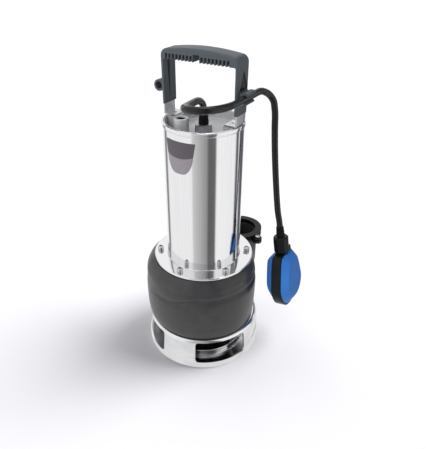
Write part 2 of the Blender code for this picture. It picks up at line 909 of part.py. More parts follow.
def vane(k):
    """One impeller vane, curved back against the turn."""
    near, far = [], []
    for i in range(6):
        t = i / 5
        radius = IMPELLER_HUB_RADIUS + (
            IMPELLER_RADIUS - IMPELLER_HUB_RADIUS - 1 * MM
        ) * (0.12 + 0.88 * t)
        azimuth = 360 * k / VANES + 48 * t
        half = math.degrees(VANE_THICKNESS / 2 / radius)
        near.append(polar(radius, azimuth - half))
        far.append(polar(radius, azimuth + half))
    high = IMPELLER_DISC_BOTTOM + IMPELLER_DISC / 2
    return prism(near + far[::-1], IMPELLER_DISC_BOTTOM - VANE_HEIGHT, high)


def impeller(finish, parent):
    bore = SPIGOT_RADIUS + GAP
    disc_top = IMPELLER_DISC_BOTTOM + IMPELLER_DISC
    made = place(
        "impeller",
        turned(
            [
                (bore, IMPELLER_BOTTOM),
                (IMPELLER_HUB_RADIUS, IMPELLER_BOTTOM),
                (IMPELLER_HUB_RADIUS, IMPELLER_DISC_BOTTOM),
                (IMPELLER_RADIUS, IMPELLER_DISC_BOTTOM),
                (IMPELLER_RADIUS, disc_top),
                (IMPELLER_HUB_RADIUS, disc_top),
                (IMPELLER_HUB_RADIUS, IMPELLER_HUB_TOP),
                (bore, IMPELLER_HUB_TOP),
            ],
            32,
        ),
        finish,
        parent=parent,
    )
    boolean(
        made,
        helper("vane_union", joined([vane(k) for k in range(VANES)])),
        "UNION",
    )
    return made


def bearing_heights():
    """Seats of the lower and upper bearing."""
    return CASING_TOP + GAP + CARRIER_FLOOR + GAP, BRACKET_BOTTOM + GAP


def rotor(axis, steel, dark, lamination, bright):
    bore = SHAFT_RADIUS + GAP
    shoulder = IMPELLER_HUB_TOP + GAP
    _, upper = bearing_heights()
    shaft_top = upper + UPPER_BEARING_HEIGHT - 1 * MM
    place(
        "shaft",
        turned(
            [
                (0, SHAFT_BOTTOM),
                (SPIGOT_RADIUS, SHAFT_BOTTOM),
                (SPIGOT_RADIUS, shoulder),
                (SHAFT_RADIUS, shoulder),
                (SHAFT_RADIUS, shaft_top),
                (0, shaft_top),
            ],
            24,
        ),
        steel,
        parent=axis,
    )
    impeller(dark, axis)
    nut_top = IMPELLER_BOTTOM - GAP
    nut = cylinder(NUT_RADIUS, nut_top - NUT_HEIGHT, nut_top, 6)
    bore_cutter = cylinder(SPIGOT_RADIUS + GAP, SHAFT_BOTTOM - 10 * MM, nut_top + 2 * MM)
    boolean(
        place("impeller_nut", nut, bright, parent=axis),
        helper("nut_bore", bore_cutter),
    )
    ring_low = shoulder + GAP
    ring_top = ring_low + SEAL_RING_HEIGHT
    place(
        "seal_ring",
        turned(
            [
                (bore, ring_low),
                (SEAL_RING_RADIUS, ring_low),
                (SEAL_RING_RADIUS, ring_top),
                (bore, ring_top),
            ],
            24,
        ),
        dark,
        parent=axis,
    )
    place(
        "rotor_core",
        turned(
            [
                (bore, STATOR_BOTTOM),
                (ROTOR_RADIUS, STATOR_BOTTOM),
                (ROTOR_RADIUS, STATOR_TOP),
                (bore, STATOR_TOP),
            ],
            24,
        ),
        lamination,
        parent=axis,
    )
    place(
        "seal_seat",
        turned(
            [
                (bore + GAP, ring_top + GAP),
                (SEAL_SEAT_RADIUS, ring_top + GAP),
                (SEAL_SEAT_RADIUS, ring_top + GAP + SEAL_SEAT_HEIGHT),
                (bore + GAP, ring_top + GAP + SEAL_SEAT_HEIGHT),
            ],
            24,
        ),
        bright,
    )


def motor_inside(cast, bright, lamination, copper, grey, black):
    outer = BARREL_RADIUS - BARREL_WALL - GAP
    skirt = outer - CARRIER_WALL
    bore = SHAFT_RADIUS + GAP
    lower, upper = bearing_heights()
    floor = CASING_TOP + GAP
    pocket = BEARING_RADIUS + GAP
    hub = pocket + CARRIER_WALL
    place(
        "bearing_carrier",
        turned(
            [
                (bore + GAP, floor),
                (outer, floor),
                (outer, STATOR_BOTTOM - GAP),
                (skirt, STATOR_BOTTOM - GAP),
                (skirt, floor + CARRIER_FLOOR),
                (hub, floor + CARRIER_FLOOR),
                (hub, lower + BEARING_HEIGHT),
                (pocket, lower + BEARING_HEIGHT),
                (pocket, floor + CARRIER_FLOOR),
                (bore + GAP, floor + CARRIER_FLOOR),
            ],
            24,
        ),
        cast,
    )
    for name, seat, radius, height in (
        ("lower_bearing", lower, BEARING_RADIUS, BEARING_HEIGHT),
        ("upper_bearing", upper, UPPER_BEARING_RADIUS, UPPER_BEARING_HEIGHT),
    ):
        inset = 1 * MM
        profile = [
            (bore, seat),
            (radius, seat),
            (radius, seat + height),
            (0.8 * radius, seat + height),
            (0.8 * radius, seat + height - inset),
            (0.65 * radius, seat + height - inset),
            (0.65 * radius, seat + height),
            (bore, seat + height),
        ]
        place(name, turned(profile, 24), bright)
    place(
        "stator_core",
        turned(
            [
                (ROTOR_RADIUS + AIR_GAP, STATOR_BOTTOM),
                (outer, STATOR_BOTTOM),
                (outer, STATOR_TOP),
                (ROTOR_RADIUS + AIR_GAP, STATOR_TOP),
            ],
            24,
        ),
        lamination,
    )
    middle = (WINDING_INNER + WINDING_OUTER) / 2
    for name, seat, way in (
        ("winding_lower", STATOR_BOTTOM - GAP, -1),
        ("winding_upper", STATOR_TOP + GAP, 1),
    ):
        far = seat + way * WINDING_HEIGHT
        near = far - way * 4 * MM
        profile = [
            (WINDING_INNER, seat),
            (WINDING_OUTER, seat),
            (WINDING_OUTER, near),
            (middle, far),
            (WINDING_INNER, near),
        ]
        place(name, turned(profile, 24), copper)
    boss_top = upper + UPPER_BEARING_HEIGHT + GAP + 3 * MM
    seat_radius = UPPER_BEARING_RADIUS + GAP
    plate_top = BRACKET_BOTTOM + BRACKET_PLATE
    place(
        "bearing_bracket",
        turned(
            [
                (skirt, STATOR_TOP + GAP),
                (outer, STATOR_TOP + GAP),
                (outer, plate_top),
                (BRACKET_BOSS, plate_top),
                (BRACKET_BOSS, boss_top),
                (0, boss_top),
                (0, boss_top - 3 * MM),
                (seat_radius, boss_top - 3 * MM),
                (seat_radius, BRACKET_BOTTOM),
                (skirt, BRACKET_BOTTOM),
            ],
            24,
        ),
        cast,
    )
    height = boss_top + CAPACITOR_RADIUS + 2 * MM
    half = CAPACITOR_LENGTH / 2
    can = [
        (CAPACITOR_Y + u, height + v) for u, v in ring_of(24, CAPACITOR_RADIUS, 7.5)
    ]
    place("capacitor", prism(can, -half, half, along_x), grey)
    x, y, z = TERMINAL_SIZE
    outline = [(-x / 2, -y / 2), (x / 2, -y / 2), (x / 2, y / 2), (-x / 2, y / 2)]
    place(
        "terminal_block",
        prism(outline, plate_top + GAP, plate_top + GAP + z),
        black,
        (0, TERMINAL_Y, 0),
    )


# ---- top cover and inlets ------------------------------------------------------------


def strap_foot():
    """Underside and top of a strap's foot."""
    return COVER_LUG_TOP + GAP, COVER_LUG_TOP + GAP + STRAP_THICKNESS


def top_cover(finish):
    radius = BARREL_RADIUS - BARREL_WALL - GAP
    inside = radius - 2 * MM
    low = COVER_FLOOR - COVER_SHEET
    wall_top = RIM_TOP - GAP
    made = place(
        "top_cover",
        turned(
            [
                (0, low),
                (radius, low),
                (radius, wall_top),
                (inside, wall_top),
                (inside, COVER_FLOOR + 3 * MM),
                (inside - 3 * MM, COVER_FLOOR),
                (0, COVER_FLOOR),
            ]
        ),
        finish,
    )
    half = COVER_LUG_WIDTH / 2
    lugs = []
    for side in (-1, 1):
        outline = [
            (side * COVER_LUG_INNER, -half),
            (side * COVER_LUG_OUTER, -half),
            (side * COVER_LUG_OUTER, half),
            (side * COVER_LUG_INNER, half),
        ]
        lugs.append(prism(outline, COVER_FLOOR - 1 * MM, COVER_LUG_TOP))
    boolean(made, helper("lug_union", joined(lugs)), "UNION")
    depth = strap_foot()[1] - STRAP_SCREW_DEPTH - GAP
    holes = [
        moved(cylinder(STRAP_SHANK + GAP, depth, 2 * RIM_TOP, 12), side * STRAP_SCREW_X)
        for side in (-1, 1)
    ]
    boolean(made, helper("lug_screw_cutter", joined(holes)))
    return made


def gland(steel, rubber):
    seat = COVER_FLOOR + GAP
    top = seat + GLAND_NUT_HEIGHT
    edge = 1.6 * MM
    place(
        "gland_nut",
        turned(
            [
                (0, seat),
                (GLAND_NUT_RADIUS - edge, seat),
                (GLAND_NUT_RADIUS, seat + edge),
                (GLAND_NUT_RADIUS, top - edge / 2),
                (GLAND_NUT_RADIUS - edge, top),
                (0, top),
            ],
            6,
        ),
        steel,
    )
    low = top + GAP
    place(
        "cable_boot",
        turned(
            [
                (0, low),
                (BOOT_RADIUS, low),
                (BOOT_RADIUS, low + 8 * MM),
                (BOOT_TIP_RADIUS, BOOT_TOP),
                (0, BOOT_TOP),
            ],
            16,
        ),
        rubber,
    )


def mains_inlet(finish, steel):
    seat = COVER_FLOOR + GAP
    made = place(
        "mains_inlet",
        turned(
            [
                (0, seat),
                (INLET_RADIUS, seat),
                (INLET_RADIUS, INLET_TOP - 1 * MM),
                (INLET_RADIUS - 1 * MM, INLET_TOP),
                (INLET_BORE, INLET_TOP),
                (INLET_BORE, seat + INLET_FOOT_HEIGHT),
                (0, seat + INLET_FOOT_HEIGHT),
            ],
            24,
        ),
        finish,
        (INLET_X, INLET_Y, 0),
    )
    ear_x, ear_y = polar(INLET_EAR_DISTANCE, INLET_EAR_AZIMUTH)
    ear = moved(
        cylinder(INLET_EAR_RADIUS, seat, seat + INLET_FOOT_HEIGHT, 16), ear_x, ear_y
    )
    boolean(made, helper("ear_union", ear, (INLET_X, INLET_Y, 0)), "UNION")
    hole = moved(cylinder(2.3 * MM, seat - 5 * MM, INLET_TOP, 16), ear_x, ear_y)
    boolean(made, helper("ear_hole", hole, (INLET_X, INLET_Y, 0)))
    screw(
        "inlet_screw",
        INLET_X + ear_x,
        INLET_Y + ear_y,
        seat + INLET_FOOT_HEIGHT + GAP,
        3.2 * MM,
        3.0 * MM,
        2.0 * MM,
        INLET_FOOT_HEIGHT,
        steel,
    )


# ---- straps and handle -----------------------------------------------------------


def straps(finish, steel):
    low, high = strap_foot()
    outer = STRAP_INNER + STRAP_THICKNESS
    bend = 1.5 * MM
    outline = [
        (STRAP_FOOT_END, low),
        (outer - bend, low),
        (outer, low + bend),
        (outer, STRAP_TOP),
        (STRAP_INNER, STRAP_TOP),
        (STRAP_INNER, high),
        (STRAP_FOOT_END, high),
    ]
    half = STRAP_WIDTH / 2
    for side, name in ((-1, "left"), (1, "right")):
        made = place(
            f"strap_{name}",
            prism([(side * u, v) for u, v in outline], -half, half, along_y),
            finish,
        )
        cone = [
            (0, low - 5 * MM),
            (STRAP_SHANK + GAP, low - 5 * MM),
            (STRAP_SHANK + GAP, low),
            (STRAP_HEAD + GAP, high),
            (STRAP_HEAD + GAP, high + 5 * MM),
            (0, high + 5 * MM),
        ]
        x = side * STRAP_SCREW_X
        boolean(made, helper(f"strap_hole_{name}", turned(cone, 16), (x, 0, 0)))
        profile = [
            (0, high - STRAP_SCREW_DEPTH),
            (STRAP_SHANK, high - STRAP_SCREW_DEPTH),
            (STRAP_SHANK, low),
            (STRAP_HEAD, high),
            (0, high),
        ]
        place(f"strap_screw_{name}", turned(profile, 16), steel, (x, 0, 0))


def grip_outline():
    """The arch of the handle in the XZ plane, with the slots of its finger grip."""
    outer = LEG_INNER + LEG_THICKNESS
    corner_x = outer + LEG_FLARE - GRIP_CORNER
    corner_z = GRIP_SHOULDER - GRIP_CORNER
    right = [(outer, LEG_BOTTOM), (outer + LEG_FLARE, corner_z)]
    right += arc(corner_x, corner_z, GRIP_CORNER, 0, 90, 5)[1:]
    rise = GRIP_CREST - GRIP_SHOULDER
    crest = []
    for i in range(1, 12):
        x = corner_x * (1 - i / 6)
        crest.append((x, GRIP_SHOULDER + rise * (1 - (x / corner_x) ** 2)))
    left = [(-x, z) for x, z in reversed(right)]
    inner = [(-LEG_INNER, LEG_BOTTOM)]
    fillet = arc(
        -LEG_INNER + GRIP_FILLET, GRIP_UNDERSIDE - GRIP_FILLET, GRIP_FILLET, 180, 90, 3
    )
    inner += fillet
    for k in range(TEETH_SLOTS):
        wide = k == TEETH_RECESS
        if k == TEETH_RECESS + 1:
            continue
        x = TEETH_FIRST + k * TOOTH_PITCH - 0.7 * MM * wide
        end = x + TOOTH_SLOT + (TOOTH_PITCH + 1 * MM) * wide
        top = GRIP_UNDERSIDE + TOOTH_DEPTH + 2 * MM * wide
        inner += [(x, GRIP_UNDERSIDE), (x, top), (end, top), (end, GRIP_UNDERSIDE)]
    inner += [(-x, z) for x, z in reversed(fillet)] + [(LEG_INNER, LEG_BOTTOM)]
    return right + crest + left + inner


def clip_outline(is_open):
    """A cable clip on the leg: one open to the outside with a gusset, or a closed ring."""
    leg = LEG_INNER + LEG_THICKNESS - 0.5 * MM
    outline = arc(CLIP_X, CLIP_Z, CLIP_RADIUS, 38, 130, 5)
    if is_open:
        outline += [(leg, CLIP_Z + CLIP_RADIUS), (leg, CLIP_GUSSET)]
        outline += arc(CLIP_X, CLIP_Z, CLIP_RADIUS, 235, 305, 4)
        return outline + arc(CLIP_X, CLIP_Z, CABLE_RADIUS + GAP, 305, 38, 12)
    outline += [(leg, CLIP_Z + 0.8 * CLIP_RADIUS), (leg, CLIP_Z - 0.8 * CLIP_RADIUS)]
    outline += arc(CLIP_X, CLIP_Z, CLIP_RADIUS, 235, 382, 10)
    return [(-x, z) for x, z in outline]


def buttress():
    """The wedge that runs from the leg out to the top of the open clip."""
    leg = LEG_INNER + LEG_THICKNESS - 0.5 * MM
    tip = 0.6 * MM
    return skinned(
        [
            [
                (leg, CLIP_FRONT, CLIP_Z),
                (BUTTRESS_X - 2 * MM, CLIP_FRONT, BUTTRESS_Z - 5 * MM),
                (BUTTRESS_X - 2 * MM, CLIP_BACK, BUTTRESS_Z - 5 * MM),
                (leg, CLIP_BACK, CLIP_Z),
            ],
            [
                (leg, CLIP_FRONT, BUTTRESS_Z),
                (BUTTRESS_X, CLIP_FRONT, BUTTRESS_Z),
                (BUTTRESS_X, CLIP_BACK, BUTTRESS_Z),
                (leg, CLIP_BACK, BUTTRESS_Z),
            ],
            [
                (leg, -tip, BUTTRESS_TIP),
                (leg + 3 * tip, -tip, BUTTRESS_TIP),
                (leg + 3 * tip, tip, BUTTRESS_TIP),
                (leg, tip, BUTTRESS_TIP),
            ],
        ]
    )


def rounded_arch(outline):
    """The handle's arch, the long edges of its outside rounded."""
    half = GRIP_WIDTH / 2
    mesh = prism(outline, -half, half, along_y)
    underside = GRIP_UNDERSIDE + 1 * MM
    inner = LEG_INNER + 1 * MM

    def outside(vert):
        x, z = abs(vert.co.x), vert.co.z
        return x > inner or z > underside + TOOTH_DEPTH + 2 * MM

    edges = [
        e
        for e in mesh.edges
        if all(outside(v) for v in e.verts)
        and abs(e.verts[0].co.y - e.verts[1].co.y) < 1e-6
    ]
    bmesh.ops.bevel(
        mesh,
        geom=edges,
        offset=GRIP_EDGE,
        segments=3,
        profile=0.5,
        affect="EDGES",
        material=-1,
    )
    return mesh


def handle(finish):
    made = place("handle_grip", rounded_arch(grip_outline()), finish)
    clips = [
        prism(clip_outline(is_open), CLIP_FRONT, CLIP_BACK, along_y)
        for is_open in (True, False)
    ]
    boolean(made, helper("clip_union", joined(clips)), "UNION")
    boolean(made, helper("buttress_union", buttress()), "UNION")
    bore = CABLE_RADIUS + GAP
    reach = 2 * GRIP_WIDTH
    for side, name in ((1, "open"), (-1, "closed")):
        ring = [(side * CLIP_X + u, CLIP_Z + v) for u, v in ring_of(24, bore)]
        way = prism(ring, -reach, reach, along_y)
        boolean(made, helper(f"clip_bore_{name}", way))
    pockets = []
    for side in (-1, 1):
        inner = STRAP_INNER - GAP
        outer = STRAP_INNER + STRAP_THICKNESS + GAP
        wide = STRAP_WIDTH / 2 + GAP
        outline = [
            (side * inner, -wide),
            (side * outer, -wide),
            (side * outer, wide),
            (side * inner, wide),
        ]
        pockets.append(prism(outline, LEG_BOTTOM - 5 * MM, STRAP_TOP + GAP))
    boolean(made, helper("pocket_cutter", joined(pockets)))
    return made


# ---- float cable and float --------------------------------------------------------------


def routed(points, spacing):
    """Evenly spaced points on a smooth curve through the given ones."""
    known = [Vector(p) for p in points]
    known = [2 * known[0] - known[1]] + known + [2 * known[-1] - known[-2]]
    fine = []
    for p0, p1, p2, p3 in zip(known, known[1:], known[2:], known[3:]):
        for i in range(24):
            t = i / 24
            fine.append(
                0.5
                * (
                    2 * p1
                    + (p2 - p0) * t
                    + (2 * p0 - 5 * p1 + 4 * p2 - p3) * t * t
                    + (3 * p1 - p0 - 3 * p2 + p3) * t**3
                )
            )
    fine.append(known[-2])
    lengths = [0.0]
    for a, b in zip(fine, fine[1:]):
        lengths.append(lengths[-1] + (b - a).length)
    count = max(2, round(lengths[-1] / spacing))
    even, k = [], 0
    for i in range(count + 1):
        want = lengths[-1] * i / count
        while k < len(fine) - 2 and lengths[k + 1] < want:
            k += 1
        t = (want - lengths[k]) / (lengths[k + 1] - lengths[k])
        even.append(fine[k].lerp(fine[k + 1], min(max(t, 0.0), 1.0)))
    return even, lengths[-1]


def cable(name, points, finish, parent=None):
    """A cable as a bevelled curve along its route, in world space."""
    even, length = routed(points, CABLE_SPACING)
    for k, near in ((0, points[1]), (-1, points[-2])):
        way = (Vector(near) - even[k]).normalized()
        even.insert(k if k else 1, even[k] + way * CABLE_RADIUS)
    print(f"{name}: {length / MM:.1f} mm")
    data = bpy.data.curves.new(name, "CURVE")
    data.dimensions = "3D"
    data.bevel_depth = CABLE_RADIUS
    data.bevel_resolution = 3
    data.use_fill_caps = True
    line = data.splines.new("POLY")
    line.points.add(len(even) - 1)
    shift = parent.location if parent else Vector()
    for point, at in zip(line.points, even):
        point.co = (*(at - shift), 1)
    data.materials.append(finish)
    made = bpy.data.objects.new(name, data)
    bpy.context.scene.collection.objects.link(made)
    made.parent = parent
    return made


def cable_loop(finish):
    """From the boot, forward over the rim, round a loop and back through the clip."""
    route = [
        (1.2, -7.0, 430.0),
        (4.0, -21.5, 436.6),
        (7.2, -41.0, 438.6),
        (11.6, -61.5, 440.6),
        (19.0, -78.5, 443.6),
        (33.5, -89.0, 446.8),
        (50.0, -87.5, 448.0),
        (62.4, -75.0, 448.0),
        (68.0, -54.0, 446.6),
        (69.0, -32.0, 445.5),
        (69.0, -11.0, 445.5),
    ]
    points = [(0, 0, BOOT_TOP + GAP), (0, 0, BOOT_TOP + GAP + 1.4 * CABLE_RADIUS)]
    points += [tuple(c * MM for c in p) for p in route]
    points.append((CLIP_X, HINGE_Y - GAP / 2, CLIP_Z))
    return cable("float_cable_loop", points, finish)


def cable_drop(finish, parent):
    """From the clip, over its back edge and down to the float."""
    route = [
        (69.9, 35.5, 445.6),
        (72.6, 48.0, 441.8),
        (76.8, 55.6, 435.8),
        (80.8, 59.4, 428.0),
        (84.0, 61.2, 410.0),
        (85.2, 61.8, 388.0),
        (87.4, 62.6, 358.0),
        (90.8, 63.6, 323.0),
        (95.3, 64.8, 284.0),
        (99.8, 66.0, 251.0),
    ]
    begin = Vector((CLIP_X, HINGE_Y + GAP / 2, CLIP_Z))
    end = Vector((FLOAT_X, FLOAT_Y, FLOAT_Z))
    points = [begin, begin + Vector((0, 1.4 * CABLE_RADIUS, 0))]
    points += [tuple(c * MM for c in p) for p in route]
    points += [end + float_way() @ Vector((0, 0, 1.4 * CABLE_RADIUS)), end]
    return cable("float_cable_drop", points, finish, parent)


def float_way():
    return Euler([math.radians(a) for a in FLOAT_TILT]).to_matrix()


def float_outline(inset=0.0, lift=0.0):
    """The float seen from its broad side, as (across, along), along falling."""
    top = -(FLOAT_BOOT_LENGTH + FLOAT_NUT_LENGTH + 2 * GAP)
    half, low = FLOAT_HALF_WIDTH, top - FLOAT_LENGTH
    side = [
        (FLOAT_NECK_HALF_WIDTH, top),
        (FLOAT_SHOULDER, top - 2 * MM),
        (half, low + 43 * MM),
        (half, low + 32 * MM),
        (half - 3 * MM, low + 22 * MM),
        (half - 8 * MM, low + 13 * MM),
        (half - 16 * MM, low + 5 * MM),
        (half - 26 * MM, low),
    ]
    outline = side + [(-y, z) for y, z in reversed(side)]
    across = 1 - inset / half
    along = 1 - (2 * inset + lift) / FLOAT_LENGTH
    return [(y * across, top - inset + (z - top) * along) for y, z in outline]


def float_pieces(frame, travel, black, blue, rubber, steel):
    boot_low = -FLOAT_BOOT_LENGTH
    place(
        "float_boot",
        turned(
            [
                (0, -GAP),
                (CABLE_RADIUS + 1 * MM, -GAP),
                (FLOAT_BOOT_RADIUS, boot_low),
                (0, boot_low),
            ],
            16,
        ),
        rubber,
        parent=frame,
    )
    nut_top, nut_low = boot_low - GAP, boot_low - GAP - FLOAT_NUT_LENGTH
    place(
        "float_gland_nut",
        turned(
            [
                (0, nut_top),
                (FLOAT_NUT_RADIUS - 2.5 * MM, nut_top),
                (FLOAT_NUT_RADIUS, nut_top - 3 * MM),
                (FLOAT_NUT_RADIUS, nut_low + 5 * MM),
                (FLOAT_NUT_RADIUS - 2.5 * MM, nut_low),
                (0, nut_low),
            ],
            8,
        ),
        black,
        parent=frame,
    )
    half = FLOAT_BAND / 2
    outside, inside = float_outline(), float_outline(FLOAT_WALL)
    place(
        "float_band",
        skinned(
            [
                [(-half, y, z) for y, z in outside],
                [(half, y, z) for y, z in outside],
                [(half, y, z) for y, z in inside],
                [(-half, y, z) for y, z in inside],
            ],
            tube=True,
        ),
        black,
        parent=frame,
    )
    for side, name in ((-1, "left"), (1, "right")):
        near, far = half + GAP, FLOAT_THICKNESS / 2
        shell = [
            (far - FLOAT_WALL, FLOAT_FACE_INSET + 1 * MM, FLOAT_FACE_LIFT),
            (near, 0.8 * MM + FLOAT_WALL, FLOAT_SEAM_LIFT),
            (near, 0.8 * MM, FLOAT_SEAM_LIFT),
            (far, FLOAT_FACE_INSET, FLOAT_FACE_LIFT),
        ]
        rings = [
            [(side * x, y, z) for y, z in float_outline(inset, lift)]
            for x, inset, lift in shell
        ]
        place(f"float_shell_{name}", skinned(rings), blue, parent=frame)
    inner_top = inside[0][1] - GAP
    low = inner_top - SWITCH_LENGTH
    bore = BALL_RADIUS + BALL_CLEARANCE
    place(
        "switch_capsule",
        turned(
            [
                (0, low),
                (SWITCH_RADIUS, low),
                (SWITCH_RADIUS, inner_top),
                (bore, inner_top),
                (bore, low + 2 * MM),
                (0, low + 2 * MM),
            ],
            24,
        ),
        black,
        parent=frame,
    )
    rest = low + 2 * MM + GAP + BALL_RADIUS
    travel.location = (0, 0, rest)
    travel.parent = frame
    profile = arc(0, 0, BALL_RADIUS, -90, 90, 8)
    place("switch_ball", turned(profile, 16), steel, parent=travel)
    way = float_way()
    ball = Vector((FLOAT_X, FLOAT_Y, FLOAT_Z)) + way @ Vector((0, 0, rest))
    print("ball at", [round(c, 5) for c in ball], "track", [round(c, 5) for c in way.col[2]])


def empty(name, at=(0, 0, 0), parent=None):
    made = bpy.data.objects.new(name, None)
    made.empty_display_size = 0.02
    bpy.context.scene.collection.objects.link(made)
    made.location = at
    made.parent = parent
    return made


def main():
    for old in list(bpy.data.objects):
        bpy.data.objects.remove(old, do_unlink=True)
    polished = material("polished steel", "d4d6d8", 0.12, 1.0)
    steel = material("stainless steel", "b4b7ba", 0.3, 1.0)
    blasted = material("blasted steel", "a6a9ac", 0.55, 1.0)
    black = material("black painted casting", "2b2c2e", 0.42, 0.0)
    moulded = material("black plastic", "1d1e20", 0.45, 0.0)
    grey = material("dark grey plastic", "454d54", 0.5, 0.0)
    blue = material("blue plastic", "2f6fc4", 0.4, 0.0)
    rubber = material("rubber", "17181a", 0.65, 0.0)
    cast = material("cast aluminium", "8d9094", 0.5, 1.0)
    lamination = material("steel laminations", "6d7175", 0.45, 1.0)
    copper = material("copper windings", "9c5a33", 0.4, 1.0)
    plate = material("plate", "6f5560", 0.4, 0.0)
    can = material("capacitor can", "b9bcc0", 0.4, 0.0)

    window = windows()
    base_plate(polished, window)
    foot_pad(rubber)
    tie_bolts(steel)
    strainer_basket(polished, window)
    suction_cover(black)
    pump_casing(black)
    discharge_pieces(steel, black, rubber)
    motor_housing(polished, steel, rubber, plate)
    rotor(empty("rotor_axis"), steel, moulded, lamination, polished)
    motor_inside(cast, polished, lamination, copper, can, moulded)
    top_cover(blasted)
    gland(steel, rubber)
    mains_inlet(blasted, steel)
    straps(polished, steel)
    handle(grey)
    cable_loop(rubber)
    swing = empty("float_axis", (CLIP_X, HINGE_Y, CLIP_Z + CABLE_RADIUS + GAP))
    cable_drop(rubber, swing)
    frame = empty(
        "float_frame",
        Vector((FLOAT_X, FLOAT_Y, FLOAT_Z)) - swing.location,
        swing,
    )
    frame.rotation_euler = [math.radians(a) for a in FLOAT_TILT]
    float_pieces(frame, empty("ball_track"), moulded, blue, rubber, steel)


main()
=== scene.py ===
import json
import math

import bmesh
import bpy
from mathutils import Euler, Matrix, Vector

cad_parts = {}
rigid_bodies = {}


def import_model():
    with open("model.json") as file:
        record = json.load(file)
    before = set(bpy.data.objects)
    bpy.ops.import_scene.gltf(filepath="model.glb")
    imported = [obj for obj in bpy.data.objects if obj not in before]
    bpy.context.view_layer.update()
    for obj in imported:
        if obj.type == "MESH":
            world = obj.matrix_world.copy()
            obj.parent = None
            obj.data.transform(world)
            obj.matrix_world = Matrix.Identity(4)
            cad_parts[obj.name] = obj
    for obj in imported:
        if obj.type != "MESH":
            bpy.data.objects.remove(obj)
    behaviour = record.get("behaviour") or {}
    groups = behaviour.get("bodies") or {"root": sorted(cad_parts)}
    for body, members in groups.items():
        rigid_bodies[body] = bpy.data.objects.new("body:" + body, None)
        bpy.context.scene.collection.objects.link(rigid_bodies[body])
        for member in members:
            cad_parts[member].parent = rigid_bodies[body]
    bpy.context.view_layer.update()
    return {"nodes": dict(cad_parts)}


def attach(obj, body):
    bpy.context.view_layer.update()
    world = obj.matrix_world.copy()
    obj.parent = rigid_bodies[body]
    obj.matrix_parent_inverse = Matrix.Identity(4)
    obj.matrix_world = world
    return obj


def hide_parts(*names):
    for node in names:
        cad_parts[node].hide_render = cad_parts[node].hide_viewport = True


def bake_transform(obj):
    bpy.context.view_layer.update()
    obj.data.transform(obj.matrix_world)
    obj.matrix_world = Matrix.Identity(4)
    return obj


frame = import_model()
MM = 0.001


# ---- camera and cables: the float cable's route is the model's own ----


def camera():
    """At the photograph's place: 31 degrees round to the right, 31 degrees above."""
    data = bpy.data.cameras.new("camera")
    data.lens = 38.24
    data.shift_x = 0.0209
    made = bpy.data.objects.new("camera", data)
    bpy.context.scene.collection.objects.link(made)
    round_by, above = math.radians(31.36), math.radians(31.05)
    ahead = Vector((-math.sin(round_by), math.cos(round_by), 0)) * math.cos(above)
    look = ahead - Vector((0, 0, math.sin(above)))
    made.location = (0.34728, -0.56983, 0.62832)
    made.rotation_mode = "QUATERNION"
    made.rotation_quaternion = look.to_track_quat("-Z", "Y")
    data.clip_start, data.clip_end = 0.05, 30
    bpy.context.scene.camera = made


CABLE_RADIUS = 5.0
CABLE_STEP = 11
LOOP_ROUTE = [
    (0, 0, 413.3), (0, 0, 420.3), (1.2, -7, 430), (4, -21.5, 436.6), (7.2, -41, 438.6),
    (11.6, -61.5, 440.6), (19, -78.5, 443.6), (33.5, -89, 446.8), (50, -87.5, 448),
    (62.4, -75, 448), (68, -54, 446.6), (69, -32, 445.5), (69, -11, 445.5), (69, 15, 445.5),
]
DROP_ROUTE = [
    (69, 15.3, 445.5), (69, 22.3, 445.5), (69.9, 35.5, 445.6), (72.6, 48, 441.8),
    (76.8, 55.6, 435.8), (80.8, 59.4, 428), (84, 61.2, 410), (85.2, 61.8, 388),
    (87.4, 62.6, 358), (90.8, 63.6, 323), (95.3, 64.8, 284), (99.8, 66, 251),
    (104.7, 66.7, 228.9), (106, 66.4, 222),
]


def evened(points, spacing):
    """Evenly spaced points in metres on a smooth line through points in millimetres."""
    known = [Vector(p) * MM for p in points]
    known = [2 * known[0] - known[1]] + known + [2 * known[-1] - known[-2]]
    fine = []
    for p0, p1, p2, p3 in zip(known, known[1:], known[2:], known[3:]):
        for i in range(24):
            t = i / 24
            a, b = 2 * p0 - 5 * p1 + 4 * p2 - p3, 3 * p1 - p0 - 3 * p2 + p3
            fine.append(0.5 * (2 * p1 + (p2 - p0) * t + a * t * t + b * t**3))
    fine.append(known[-2])
    run = [0.0]
    for a, b in zip(fine, fine[1:]):
        run.append(run[-1] + (b - a).length)
    count = round(run[-1] / (spacing * MM))
    even, k = [], 0
    for i in range(count + 1):
        want = run[-1] * i / count
        while k < len(fine) - 2 and run[k + 1] < want:
            k += 1
        t = min(max((want - run[k]) / (run[k + 1] - run[k]), 0.0), 1.0)
        even.append(fine[k].lerp(fine[k + 1], t))
    return even, run[-1]


def sheathed(name, points):
    """A round cable along its points, as a curve."""
    data = bpy.data.curves.new(name, "CURVE")
    data.dimensions = "3D"
    data.bevel_depth = CABLE_RADIUS * MM
    data.bevel_resolution = 7
    data.resolution_u = 6
    data.use_fill_caps = True
    line = data.splines.new("BEZIER")
    line.bezier_points.add(len(points) - 1)
    for knot, point in zip(line.bezier_points, points):
        knot.co = point
        knot.handle_left_type = knot.handle_right_type = "AUTO"
    made = bpy.data.objects.new(name, data)
    bpy.context.scene.collection.objects.link(made)
    return made


